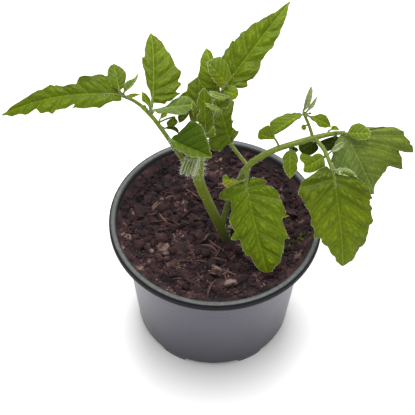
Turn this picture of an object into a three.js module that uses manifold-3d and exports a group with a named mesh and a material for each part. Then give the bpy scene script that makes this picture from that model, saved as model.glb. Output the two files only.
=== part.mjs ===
// A young tomato plant in a round moulded nursery pot.
// Millimetres, +Z up, origin on the ground under the middle of the pot, -Y towards the front.
import * as THREE from 'three';
import { mergeVertices } from 'three/addons/utils/BufferGeometryUtils.js';
import Module from 'manifold-3d';

const wasm = await Module();
wasm.setup();

// ---- Driving dimensions -------------------------------------------------------------------

const SCRAP = 4; // the largest loose scrap, in cubic millimetres, that may be dropped
const TOLERANCE = 0.005; // corners of a join that lie closer than this are taken as one
const GAP = 0.3; // clearance between separate pieces that touch on the real plant

// Pot: outer radii at the foot, under the rim and on the rim, heights and wall.
const POT_HEIGHT = 91;
const POT_RIM_R = 65;
const POT_RIM_INNER_R = 60.7;
const POT_RIM_BAND = 4.8;
const POT_NECK_R = 56.4;
const POT_NECK_Z = 84.7;
const POT_FOOT_R = 48;
const POT_WALL = 1.2;
const POT_SIDES = 48;
const SHOULDER_Z = 63; // a faint step in the wall, with one small window in it at the front
const SHOULDER_STEP = 0.4;
const WINDOW_WIDTH = 9;
const WINDOW_HEIGHT = 6.5;

// Underside: a flat middle disc, a raised channel with drain slots, and a foot ring in 6 arcs.
const DISC_R = 34;
const CHANNEL_R = 37;
const CHANNEL_LIFT = 3.2;
const FOOT_RING_WIDTH = 2;
const FLOOR = 1.4;
const FEET = 6;
const FOOT_NOTCH_DEG = 40;
const SLOT_LENGTH = 12;
const SLOT_WIDTH = 5;

// Compost: level, roughness and the loose crumbs that lie in it.
const SOIL_Z = 82;
const SOIL_RELIEF = 1.1;
const SOIL_SIDES = 36;
const CRUMBS = 20;
const BARK_CHIPS = 6;

// Leaves and stems.
const BLADE = 0.7; // thickness of a leaf blade
const RIB = 0.8; // how far the midrib stands out under the blade at its base
const QUILT = 0.4; // how far the blade rises and falls between the side veins
const SMALL_LEAFLET = 20; // a leaflet shorter than this has no quilting
const VEIN_SLANT = 0.45; // how far a side vein runs forward for each unit sideways
const STEM_TOP = [-7.6, 0.8, 176.5];

// ---- Solids -------------------------------------------------------------------------------

// A seeded random number between 0 and 1, so that every build is the same.
function seeded(seed) {
  let state = seed;
  return () => {
    state = (state * 16807) % 2147483647;
    return state / 2147483647;
  };
}

function solidFrom(positions, triangles) {
  const vertProperties = new Float32Array(positions);
  const triVerts = new Uint32Array(triangles);
  return new wasm.Manifold(new wasm.Mesh({ numProp: 3, vertProperties, triVerts, tolerance: TOLERANCE }));
}

// Turns a three.js geometry into a solid: shared corners are merged, empty triangles dropped.
function toSolid(geometry) {
  const bare = geometry.clone();
  bare.deleteAttribute('normal');
  bare.deleteAttribute('uv');
  const merged = mergeVertices(bare, 1e-3);
  const index = Array.from(merged.index.array);
  const kept = [];
  for (let i = 0; i < index.length; i += 3) {
    const [a, b, c] = index.slice(i, i + 3);
    if (a !== b && b !== c && c !== a) kept.push(a, b, c);
  }
  return solidFrom(merged.attributes.position.array, kept);
}

function toMesh(solid, name, material) {
  const { vertProperties, triVerts, numProp } = solid.getMesh();
  const position = new Float32Array((vertProperties.length / numProp) * 3);
  for (let i = 0; i < position.length; i += 1) {
    position[i] = vertProperties[Math.floor(i / 3) * numProp + (i % 3)];
  }
  const geometry = new THREE.BufferGeometry();
  geometry.setAttribute('position', new THREE.BufferAttribute(position, 3));
  geometry.setIndex(new THREE.BufferAttribute(new Uint32Array(triVerts), 1));
  geometry.computeVertexNormals();
  const mesh = new THREE.Mesh(geometry, material);
  mesh.name = name;
  return mesh;
}

const vec = (p) => new THREE.Vector3(...p);
const joined = (solids) => solids.reduce((whole, solid) => whole.add(solid));

// Keeps the largest body and drops the loose scraps that a cut has left.
function largest(solid) {
  const bodies = solid.decompose().sort((one, other) => other.volume() - one.volume());
  for (const body of bodies.slice(1)) {
    if (body.volume() > SCRAP) throw new Error(`a piece came loose near ${body.boundingBox().min}`);
  }
  return bodies[0];
}

// ---- Stems --------------------------------------------------------------------------------

// A round stalk through the given points, with one radius for each point, as a closed solid.
function stalk(points, radii, sides = 6, stepsPerSpan = 3) {
  const curve = new THREE.CatmullRomCurve3(points.map(vec));
  const spans = points.length - 1;
  const steps = spans * stepsPerSpan;
  const positions = [];
  const triangles = [];
  const across = new THREE.Vector3(1, 0.2, 0.1);
  const corner = new THREE.Vector3();
  for (let i = 0; i <= steps; i += 1) {
    const u = i / steps;
    const span = Math.min(Math.floor(u * spans), spans - 1);
    const radius = THREE.MathUtils.lerp(radii[span], radii[span + 1], u * spans - span);
    const along = curve.getTangent(u);
    across.addScaledVector(along, -across.dot(along)).normalize();
    const other = new THREE.Vector3().crossVectors(along, across);
    const middle = curve.getPoint(u);
    for (let j = 0; j < sides; j += 1) {
      const turn = (2 * Math.PI * j) / sides;
      corner.copy(middle).addScaledVector(across, radius * Math.cos(turn));
      corner.addScaledVector(other, radius * Math.sin(turn));
      positions.push(...corner);
    }
  }
  const ring = (i, j) => i * sides + (j % sides);
  for (let i = 0; i < steps; i += 1) {
    for (let j = 0; j < sides; j += 1) {
      triangles.push(ring(i, j), ring(i, j + 1), ring(i + 1, j));
      triangles.push(ring(i, j + 1), ring(i + 1, j + 1), ring(i + 1, j));
    }
  }
  for (let j = 1; j < sides - 1; j += 1) {
    triangles.push(ring(0, 0), ring(0, j + 1), ring(0, j));
    triangles.push(ring(steps, 0), ring(steps, j), ring(steps, j + 1));
  }
  return solidFrom(positions, triangles);
}

// ---- Leaflets -----------------------------------------------------------------------------

// The surface of a leaflet. A point (t, w) lies t of the length along the line from base to
// tip and w of the length to the right of it (left if negative), seen from the leaf's face.
// The surface bows up between base and tip by arch, bends sideways by sweep, folds up along
// the midrib by fold degrees and droops towards the right and left edges by cup.
function leafSurface({ base, tip, face, arch = 0.06, sweep = 0, fold = 6, cup = 0.3 }) {
  const start = vec(base);
  const along = vec(tip).sub(start);
  const length = along.length();
  along.normalize();
  const up = vec(face);
  up.addScaledVector(along, -up.dot(along)).normalize();
  const side = new THREE.Vector3().crossVectors(along, up);
  const raise = THREE.MathUtils.degToRad(fold);
  const [cupRight, cupLeft] = Array.isArray(cup) ? cup : [cup, cup];
  const at = (t, w) => {
    const hump = 4 * t * (1 - t);
    const droop = (w > 0 ? cupRight : cupLeft) * w * w;
    const lift = arch * hump + Math.abs(w) * Math.sin(raise) - droop;
    const point = start.clone().addScaledVector(along, t * length);
    point.addScaledVector(side, (sweep * hump + w * Math.cos(raise)) * length);
    return point.addScaledVector(up, lift * length);
  };
  const normal = (t, w) => {
    const forward = at(t + 0.01, w).sub(at(t - 0.01, w));
    const sideways = at(t, w + 0.01).sub(at(t, w - 0.01));
    return sideways.cross(forward).normalize();
  };
  return { at, normal };
}

// A leaflet as one thin closed solid. right and left list the edge from base to tip, as
// shares of the length: [along the midrib, out from the midrib]. Both lists have as many
// points, because each pair is one row of the blade, running out from the midrib like a vein.
function leaflet(shape) {
  const { right, left } = shape;
  const surface = leafSurface(shape);
  const rows = [{ root: 0, right: [0, 0.012], left: [0, 0.012] }];
  for (let k = 0; k < right.length; k += 1) {
    const ahead = (right[k][0] + left[k][0]) / 2;
    const out = (right[k][1] + left[k][1]) / 2;
    const last = rows[k].root;
    const root = Math.max(ahead - VEIN_SLANT * out, last + (1 - last) * 0.04);
    rows.push({ root, right: right[k], left: left[k] });
  }
  rows.push({ root: 1, right: [1, 0.008], left: [1, 0.008] });

  const small = vec(shape.tip).distanceTo(vec(shape.base)) < SMALL_LEAFLET;
  const columns = small ? [-1, 0, 1] : [-1, -0.5, 0, 0.5, 1];
  const wide = columns.length;
  const top = [];
  const bottom = [];
  rows.forEach((row, k) => {
    for (const column of columns) {
      const edge = column < 0 ? row.left : row.right;
      const t = row.root + (edge[0] - row.root) * Math.abs(column);
      const w = edge[1] * column;
      const quilt = Math.abs(column) === 0.5 ? QUILT * (k % 2 ? 1 : -1) * Math.min(1, edge[1] * 5) : 0;
      const rib = column === 0 ? RIB * (1 - 0.75 * row.root) : 0;
      const normal = surface.normal(t, w);
      const middle = surface.at(t, w).addScaledVector(normal, quilt);
      top.push(...middle.clone().addScaledVector(normal, BLADE / 2));
      bottom.push(...middle.clone().addScaledVector(normal, -BLADE / 2 - rib));
    }
  });

  const under = top.length / 3;
  const triangles = [];
  const quad = (a, b, c, d) => triangles.push(a, b, c, b, d, c);
  const last = rows.length - 1;
  for (let k = 0; k < last; k += 1) {
    for (let j = 0; j < wide - 1; j += 1) {
      const a = k * wide + j;
      const [b, c, d] = [a + 1, a + wide, a + wide + 1];
      quad(a, b, c, d);
      triangles.push(under + a, under + c, under + b, under + b, under + c, under + d);
    }
    const rightEdge = k * wide + wide - 1;
    const leftEdge = k * wide;
    quad(rightEdge, under + rightEdge, rightEdge + wide, under + rightEdge + wide);
    quad(under + leftEdge, leftEdge, under + leftEdge + wide, leftEdge + wide);
  }
  for (let j = 0; j < wide - 1; j += 1) {
    const end = last * wide + j;
    quad(under + j, under + j + 1, j, j + 1);
    quad(end, end + 1, under + end, under + end + 1);
  }
  return solidFrom([...top, ...bottom], triangles);
}

// A leaflet with its own little stalk, which runs from a point inside the bigger stalk that
// carries it into the thick base of its midrib.
function stalkedLeaflet(from, radius, shape) {
  const surface = leafSurface(shape);
  const seat = (t) => surface.at(t, 0).addScaledVector(surface.normal(t, 0), -0.3).toArray();
  const route = [...from, seat(0), seat(0.16)];
  const radii = route.map((_, i) => radius * (i < route.length - 1 ? 1 : 0.6));
  const [sides, stepsPerSpan] = radius < 1 ? [4, 1] : [5, 2];
  return leaflet(shape).add(stalk(route, radii, sides, stepsPerSpan));
}

// ---- Pot ----------------------------------------------------------------------------------

// Outer radius of the pot's tapered body at height z.
const bodyR = (z) => POT_FOOT_R + ((POT_NECK_R - POT_FOOT_R) * z) / POT_NECK_Z;

const onProfile = (pairs) => pairs.map(([r, z]) => new THREE.Vector2(r, z));

function potBody() {
  const ringInner = POT_FOOT_R - FOOT_RING_WIDTH;
  const rimUnder = POT_HEIGHT - POT_RIM_BAND;
  const floorTop = CHANNEL_LIFT + FLOOR;
  const profile = onProfile([
    [0, 0],
    [DISC_R, 0],
    [CHANNEL_R, CHANNEL_LIFT],
    [ringInner - 1.5, CHANNEL_LIFT],
    [ringInner, 0],
    [POT_FOOT_R - 0.4, 0],
    [bodyR(0.8), 0.8],
    [bodyR(SHOULDER_Z), SHOULDER_Z],
    [bodyR(SHOULDER_Z) + SHOULDER_STEP, SHOULDER_Z + 0.3],
    [bodyR(POT_NECK_Z) + SHOULDER_STEP, POT_NECK_Z],
    [POT_RIM_R - 0.8, rimUnder - 0.4],
    [POT_RIM_R, rimUnder + 0.5],
    [POT_RIM_R, POT_HEIGHT - 1.2],
    [POT_RIM_R - 1, POT_HEIGHT],
    [POT_RIM_INNER_R + 0.9, POT_HEIGHT],
    [POT_RIM_INNER_R, POT_HEIGHT - 0.8],
    [POT_RIM_INNER_R - 0.4, POT_HEIGHT - 3.6],
    [POT_NECK_R - POT_WALL, POT_NECK_Z],
    [bodyR(floorTop) - POT_WALL, floorTop],
    [CHANNEL_R - 0.4, floorTop],
    [DISC_R - 0.6, FLOOR],
    [0, FLOOR],
  ]);
  return toSolid(new THREE.LatheGeometry(profile, POT_SIDES).rotateX(Math.PI / 2));
}

// A closed sector of a ring, used as a cutter for the notches between the feet.
function ringSector(innerR, outerR, height, degrees) {
  const half = THREE.MathUtils.degToRad(degrees / 2);
  const outline = new THREE.Shape();
  outline.absarc(0, 0, outerR, -half, half, false);
  outline.absarc(0, 0, innerR, half, -half, true);
  const options = { depth: height, bevelEnabled: false, curveSegments: 5 };
  return new THREE.ExtrudeGeometry(outline, options);
}

function pot() {
  let solid = potBody();
  for (let i = 0; i < FEET; i += 1) {
    const turn = -Math.PI / 2 + (i * 2 * Math.PI) / FEET;
    const notch = ringSector(POT_FOOT_R - 4, POT_FOOT_R + 3, CHANNEL_LIFT, FOOT_NOTCH_DEG);
    notch.translate(0, 0, -0.2).rotateZ(turn);
    const slot = new THREE.BoxGeometry(SLOT_WIDTH, SLOT_LENGTH, 6);
    slot.translate((CHANNEL_R + POT_FOOT_R - 5) / 2 + 0.2, 0, CHANNEL_LIFT).rotateZ(turn);
    solid = solid.subtract(toSolid(notch)).subtract(toSolid(slot));
  }
  // The shallow window breaks the shoulder line just right of the front.
  const reach = bodyR(SHOULDER_Z) + SHOULDER_STEP;
  const outline = new THREE.Shape();
  outline.moveTo(-WINDOW_WIDTH / 2 - 2.5, -1);
  outline.lineTo(WINDOW_WIDTH / 2 + 2.5, -1);
  outline.lineTo(WINDOW_WIDTH / 2, WINDOW_HEIGHT);
  outline.lineTo(-WINDOW_WIDTH / 2, WINDOW_HEIGHT);
  const cutter = new THREE.ExtrudeGeometry(outline, { depth: 8, bevelEnabled: false });
  cutter.rotateX(Math.PI / 2).translate(0, -reach + 0.15, SHOULDER_Z);
  cutter.rotateZ(THREE.MathUtils.degToRad(3));
  return solid.subtract(toSolid(cutter));
}

// ---- Compost ------------------------------------------------------------------------------

// Height of the compost at (x, y): broad swells with finer ripples on them.
function soilHeight(x, y) {
  const swell = Math.sin(x * 0.11 + 1) * Math.cos(y * 0.09);
  const ripple = Math.sin(x * 0.47 + 2 * Math.cos(y * 0.31)) * Math.cos(y * 0.53 + x * 0.2);
  return SOIL_Z + SOIL_RELIEF * (0.6 * swell + 0.6 * ripple);
}

// The compost as nested rings: the underside and flank follow the pot, the top is uneven.
function soilBody() {
  const floorTop = CHANNEL_LIFT + FLOOR + GAP;
  const flank = (z) => bodyR(z) - POT_WALL - GAP;
  const reach = flank(SOIL_Z) - 0.3;
  const rings = [
    [DISC_R - 1, FLOOR + GAP],
    [CHANNEL_R - 0.8, floorTop],
    [flank(floorTop), floorTop],
    [reach, SOIL_Z - 2.5],
  ];
  const topRings = 8;
  for (let i = topRings; i > 0; i -= 1) rings.push([(reach * i) / topRings, null]);
  const positions = [0, 0, FLOOR + GAP];
  for (const [r, z] of rings) {
    for (let j = 0; j < SOIL_SIDES; j += 1) {
      const turn = (2 * Math.PI * j) / SOIL_SIDES;
      const [x, y] = [r * Math.cos(turn), r * Math.sin(turn)];
      positions.push(x, y, z ?? soilHeight(x, y));
    }
  }
  positions.push(0, 0, soilHeight(0, 0));
  const peak = positions.length / 3 - 1;
  const at = (i, j) => 1 + i * SOIL_SIDES + (j % SOIL_SIDES);
  const triangles = [];
  for (let j = 0; j < SOIL_SIDES; j += 1) {
    triangles.push(0, at(0, j + 1), at(0, j));
    for (let i = 0; i < rings.length - 1; i += 1) {
      triangles.push(at(i, j), at(i, j + 1), at(i + 1, j));
      triangles.push(at(i, j + 1), at(i + 1, j + 1), at(i + 1, j));
    }
    triangles.push(peak, at(rings.length - 1, j), at(rings.length - 1, j + 1));
  }
  return solidFrom(positions, triangles);
}

function soil() {
  const random = seeded(7);
  const between = (low, high) => low + (high - low) * random();
  const loose = [];
  for (let i = 0; i < CRUMBS; i += 1) {
    const turn = 2 * Math.PI * random();
    const r = 49 * Math.sqrt(random());
    const size = between(1.4, 3.2);
    const crumb = new THREE.IcosahedronGeometry(size, 0);
    crumb.scale(between(0.8, 1.3), between(0.8, 1.3), between(0.6, 0.9));
    crumb.rotateZ(between(0, 3)).rotateX(between(0, 3));
    const [x, y] = [r * Math.cos(turn), r * Math.sin(turn)];
    crumb.translate(x, y, soilHeight(x, y) + size * 0.15);
    loose.push(toSolid(crumb));
  }
  for (let i = 0; i < BARK_CHIPS; i += 1) {
    const turn = 2 * Math.PI * random();
    const r = 44 * Math.sqrt(random());
    const chip = new THREE.BoxGeometry(between(6, 11), between(1.4, 2.4), 1.2);
    chip.rotateY(between(-0.15, 0.15)).rotateZ(between(0, 3));
    const [x, y] = [r * Math.cos(turn), r * Math.sin(turn)];
    chip.translate(x, y, soilHeight(x, y) + 0.3);
    loose.push(toSolid(chip));
  }
  const hole = mainStem(GAP);
  return largest(joined([soilBody(), ...loose]).subtract(hole));
}

// ---- The plant ----------------------------------------------------------------------------

// The main stem leans back and left out of the compost, swells at the node and rises from it.
function mainStem(extra) {
  const points = [
    [9.6, -10, 56 - extra],
    [7.6, -10, 81],
    [2, -9.6, 98],
    [-6, -9, 122.2],
    [-10.6, -8.5, 138.2],
    [-10.9, -7.5, 150.6],
    [-10.1, -5, 161],
    STEM_TOP,
  ];
  const radii = [2.6, 3.2, 3.0, 3.0, 3.3, 3.5, 2.6, 1.5].map((r) => r + extra);
  return stalk(points, radii, 10, 2);
}

// The growing tip: the young leaves that crowd round the top of the stem.
function growingTip() {
  return [
    stalkedLeaflet([[-9.8, -3.4, 164], [-10.8, 5, 164.2]], 1, {
      base: [-10.5, 12, 165.9], tip: [-11.7, 32, 183.1], face: [-0.1, -0.5, 0.86],
      right: [
        [0.08, 0.09], [0.26, 0.14], [0.43, 0.19], [0.58, 0.22], [0.69, 0.22], [0.78, 0.17],
        [0.89, 0.13],
      ],
      left: [
        [0.03, 0.2], [0.22, 0.26], [0.37, 0.29], [0.53, 0.47], [0.62, 0.38], [0.7, 0.27],
        [0.85, 0.23],
      ],
    }),
    stalkedLeaflet([[-8.6, -2, 168]], 1, {
      base: [-6.8, -2.5, 169.6], tip: [-8.6, 10.5, 196.3], face: [0, -0.6, 0.8], cup: 0.3,
      right: [[0.16, 0.08], [0.29, 0.16], [0.49, 0.15], [0.65, 0.13], [0.81, 0.14], [0.92, 0.07]],
      left: [[0.16, 0.05], [0.3, 0.12], [0.45, 0.16], [0.59, 0.09], [0.71, 0.14], [0.89, 0.1]],
    }),
    stalkedLeaflet([STEM_TOP], 0.9, {
      base: [-10, 3, 177.5], tip: [-15, 8, 188], face: [-0.3, -0.8, 0.5], fold: 20,
      right: [[0.15, 0.14], [0.4, 0.24], [0.55, 0.15], [0.75, 0.14]],
      left: [[0.15, 0.14], [0.35, 0.22], [0.5, 0.15], [0.75, 0.12]],
    }),
    stalkedLeaflet([[-8.3, -1, 171]], 0.9, {
      base: [-5.6, -4.5, 172], tip: [-2.5, -6, 183], face: [0.2, -0.8, 0.5], fold: 16,
      right: [[0.15, 0.14], [0.4, 0.26], [0.55, 0.17], [0.75, 0.14]],
      left: [[0.15, 0.14], [0.35, 0.24], [0.5, 0.16], [0.75, 0.13]],
    }),
  ];
}

function stemWithTip() {
  return largest(joined([mainStem(0), ...growingTip()]));
}

// The long leaf that leaves the stem just above the compost and reaches over the right rim.
function rightLeaf() {
  const node = [18.2, 4, 137];
  const fork = [55.8, 17, 148.4];
  const rachis = stalk(
    [
      [4.4, -9.8, 91], [4.4, -9.3, 99], [6.9, -4.5, 109], [11.9, 0.4, 121.4], node,
      [31.9, 9, 145.2], [47.6, 14, 148], fork, [65.9, 20, 148.9], [74.8, 22, 148.6],
    ],
    [1.8, 1.9, 1.8, 1.8, 2, 1.9, 1.9, 1.8, 1.5, 1.1],
    8,
    2,
  );
  const upper = [50, 26, 159.3];
  const upperStalk = stalk([fork, [53, 21.5, 155], upper], [1.1, 1, 0.9], 5, 3);
  const lowerEnd = [67.6, -2, 140.8];
  const lowerStalk = stalk([[57, 17, 148.4], [62.6, 9.5, 146], lowerEnd], [1.3, 1.3, 1.2], 6, 3);
  return joined([
    rachis,
    upperStalk,
    lowerStalk,
    // Leaflet that hangs forward over the compost, with its small companion.
    stalkedLeaflet([node], 1.4, {
      base: [17.3, -2, 128.5], tip: [31.3, -38, 88.9], face: [-0.1, -0.7, 0.7], cup: 0.35,
      right: [
        [-0.02, 0.05], [-0.01, 0.11], [0.01, 0.19], [0.09, 0.31], [0.15, 0.2], [0.31, 0.25],
        [0.46, 0.27], [0.57, 0.27], [0.6, 0.21], [0.78, 0.16], [0.95, 0.07],
      ],
      left: [
        [-0.03, 0.04], [0.04, 0.21], [0.07, 0.18], [0.19, 0.3], [0.31, 0.31], [0.45, 0.36],
        [0.48, 0.3], [0.67, 0.31], [0.71, 0.25], [0.9, 0.16], [0.98, 0.05],
      ],
    }),
    stalkedLeaflet([[17.3, -1, 130.5]], 0.7, {
      base: [12.5, -3, 130.5], tip: [3.5, -3, 132.9], face: [0, -0.5, 0.85], fold: 8, cup: 0.2,
      right: [[0.3, 0.13], [0.56, 0.11], [0.85, 0.32], [1.01, 0.16]],
      left: [[0.18, 0.17], [0.42, 0.35], [0.66, 0.49], [0.94, 0.32]],
    }),
    // Leaflet that stands up behind the stem.
    stalkedLeaflet([node, [12.5, 11, 139]], 1.1, {
      base: [7.9, 17, 141.3], tip: [-3.4, 44, 158.5], face: [0.1, -0.5, 0.86], fold: 4, cup: 0.5,
      right: [
        [0.04, 0.05], [0.16, 0.2], [0.25, 0.11], [0.38, 0.19], [0.44, 0.17], [0.68, 0.28],
        [0.82, 0.21], [0.95, 0.1],
      ],
      left: [
        [0.01, 0.09], [-0.07, 0.23], [0.04, 0.37], [0.2, 0.34], [0.36, 0.36], [0.57, 0.33],
        [0.79, 0.26], [0.93, 0.13],
      ],
    }),
    // Small leaflets above and below the rachis.
    stalkedLeaflet([[36.4, 10, 147]], 0.7, {
      base: [33.3, 12, 152.5], tip: [23.2, 10, 158.9], face: [0, -0.6, 0.8], fold: 4,
      right: [[0.17, 0.31], [0.58, 0.5], [0.9, 0.27]],
      left: [[0.17, 0.1], [0.47, 0.17], [0.74, 0.23]],
    }),
    stalkedLeaflet([[42.4, 12, 147]], 0.7, {
      base: [42.5, 10.5, 144.6], tip: [42.8, -3, 134.9], face: [0, -0.75, 0.66], fold: 8, cup: 0.4,
      right: [[0.07, 0.14], [0.29, 0.28], [0.48, 0.23], [0.72, 0.19], [0.9, 0.1]],
      left: [[0.05, 0.13], [0.27, 0.25], [0.44, 0.22], [0.71, 0.24], [0.9, 0.1]],
    }),
    stalkedLeaflet([[41, 12, 147]], 0.6, {
      base: [41.8, 13, 144.6], tip: [47.9, 13, 141.5], face: [-0.1, -0.5, 0.8], fold: 4,
      right: [[0.33, 0.15], [0.75, 0.24]],
      left: [[0.23, 0.13], [0.71, 0.17]],
    }),
    // The upward side stalk at the fork, with its narrow young leaflets.
    stalkedLeaflet([upper], 0.8, {
      base: [48.9, 26, 158.8], tip: [32.1, 16, 153.2], face: [-0.2, -0.3, 0.9], fold: -20, cup: 0.2,
      right: [[0.06, 0.21], [0.18, 0.36], [0.38, 0.44], [0.62, 0.46], [0.86, 0.33]],
      left: [[0.17, 0.07], [0.36, 0.09], [0.58, 0.11], [0.78, 0.1], [0.92, 0.07]],
    }),
    stalkedLeaflet([upper], 0.7, {
      base: [49.8, 27, 160.5], tip: [53.9, 38, 170.5], face: [0.5, -0.7, 0.4], fold: 26, cup: 0,
      right: [[0.23, 0.11], [0.54, 0.12], [0.84, 0.09]],
      left: [[0.25, 0.2], [0.55, 0.25], [0.82, 0.2]],
    }),
    stalkedLeaflet([upper], 0.6, {
      base: [51.9, 27, 160.5], tip: [57.6, 34, 166], face: [0.5, -0.7, 0.4], fold: 20, cup: 0,
      right: [[0.39, 0.12], [0.76, 0.08]],
      left: [[0.29, 0.2], [0.69, 0.18]],
    }),
    stalkedLeaflet([upper], 0.7, {
      base: [53.1, 26, 157.6], tip: [66.5, 24, 150.9], face: [0.2, -0.4, 0.9],
      right: [[0.15, 0.12], [0.32, 0.15], [0.49, 0.25], [0.75, 0.18]],
      left: [[0.2, 0.1], [0.39, 0.28], [0.66, 0.3], [0.86, 0.14]],
    }),
    stalkedLeaflet([[51, 26, 158.8]], 0.7, {
      base: [51.9, 25, 160.4], tip: [53.2, 22.5, 164.6], face: [0.2, -0.8, 0.1], fold: 10,
      right: [[0.2, 0.3], [0.6, 0.35]],
      left: [[0.2, 0.3], [0.6, 0.35]],
    }),
    stalkedLeaflet([[64.5, 19.6, 148.9], [65, 21, 150.4]], 0.6, {
      base: [66.2, 22, 150.6], tip: [71.2, 20, 153], face: [0, -0.4, 0.9],
      right: [[0.39, 0.1], [0.69, 0.1]],
      left: [[0.1, 0.4], [0.62, 0.36]],
    }),
    stalkedLeaflet([[53, 21.5, 155]], 0.6, {
      base: [51.6, 21.4, 154.6], tip: [48.9, 20, 152.6], face: [0, -0.6, 0.8], fold: 10, cup: 0.8,
      right: [[0.22, 0.4], [0.71, 0.4]],
      left: [[0.4, 0.45], [0.8, 0.4]],
    }),
    // The downward side stalk at the fork carries the big leaflet outside the rim.
    stalkedLeaflet([[65.6, 2.5, 143.6]], 1.3, {
      base: lowerEnd, tip: [76.6, -33, 90.4], face: [0.1, -0.72, 0.68], arch: 0.1, fold: 2, cup: 0.35,
      right: [
        [-0.05, 0.08], [-0.02, 0.19], [0.04, 0.29], [0.1, 0.35], [0.18, 0.34], [0.28, 0.31],
        [0.4, 0.28], [0.55, 0.26], [0.65, 0.21], [0.79, 0.13], [0.94, 0.05],
      ],
      left: [
        [0.02, 0.12], [0.07, 0.22], [0.17, 0.28], [0.28, 0.34], [0.33, 0.32], [0.42, 0.33],
        [0.57, 0.32], [0.68, 0.28], [0.81, 0.2], [0.9, 0.12], [0.97, 0.05],
      ],
    }),
    stalkedLeaflet([[63.6, 8, 145.4]], 0.9, {
      base: [62.5, 6.5, 144], tip: [50.3, 1, 139.1], face: [-0.1, -0.6, 0.8], fold: 4,
      right: [[0.14, 0.21], [0.44, 0.22], [0.69, 0.41], [0.9, 0.4], [0.95, 0.19]],
      left: [[0.19, 0.25], [0.44, 0.32], [0.72, 0.27], [0.9, 0.21], [1.0, 0.12]],
    }),
    stalkedLeaflet([[64.2, 7, 145]], 0.6, {
      base: [66.2, 9, 145.4], tip: [74.5, 15, 147], face: [0.3, -0.7, 0.6], fold: 20, cup: 0,
      right: [[0.22, 0.1], [0.53, 0.12], [0.84, 0.08]],
      left: [[0.21, 0.19], [0.5, 0.25], [0.8, 0.19]],
    }),
    stalkedLeaflet([[67.2, -1, 141.4]], 0.8, {
      base: [68.4, -2, 142], tip: [82.1, -2, 137.4], face: [0.1, -0.5, 0.8], fold: 10,
      right: [[0.17, 0.12], [0.5, 0.12], [0.82, 0.1]],
      left: [[0.19, 0.15], [0.52, 0.19], [0.81, 0.11]],
    }),
    // The broad end leaflet with small ones where it starts.
    stalkedLeaflet([[72, 21.4, 148.6]], 1.1, {
      base: [74.8, 22, 147.8], tip: [94.4, 3, 114.8], face: [0, -0.5, 0.8],
      arch: 0.1, fold: 0, cup: [0.35, 0.12],
      right: [
        [0, 0.08], [0.07, 0.18], [0.16, 0.28], [0.27, 0.35], [0.41, 0.36], [0.56, 0.32],
        [0.71, 0.27], [0.84, 0.2], [0.94, 0.11],
      ],
      left: [
        [0.05, 0.26], [0.18, 0.5], [0.3, 0.69], [0.52, 0.76], [0.7, 0.75], [0.6, 0.57],
        [0.88, 0.51], [0.72, 0.31], [0.86, 0.13],
      ],
    }),
    stalkedLeaflet([[73, 21.6, 148.6]], 0.8, {
      base: [75.8, 19.5, 150.4], tip: [89.6, 18, 152.6], face: [0.1, -0.4, 0.9], fold: 4, cup: 0.4,
      right: [[0.22, 0.2], [0.55, 0.31], [0.88, 0.22]],
      left: [[0.18, 0.33], [0.47, 0.46], [0.8, 0.28]],
    }),
    // Shaded leaflets under the rachis.
    stalkedLeaflet([[70.2, 21.3, 148.4]], 0.8, {
      base: [69.6, 21.5, 146], tip: [64.6, 18.5, 134.6], face: [0, -0.6, 0.8], fold: 4,
      right: [[0.41, 0.34], [0.7, 0.5], [0.88, 0.33]],
      left: [[0.01, 0.24], [0.37, 0.25], [0.78, 0.16]],
    }),
    stalkedLeaflet([[58, 17.6, 148.2], [58.6, 19, 145]], 0.8, {
      base: [57.8, 19.5, 142.5], tip: [48.4, 18, 136.1], face: [-0.1, -0.6, 0.8], fold: 4,
      right: [[0.25, 0.16], [0.6, 0.26], [0.89, 0.23]],
      left: [[0.01, 0.38], [0.4, 0.53], [0.85, 0.42]],
    }),
  ]);
}

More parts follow.
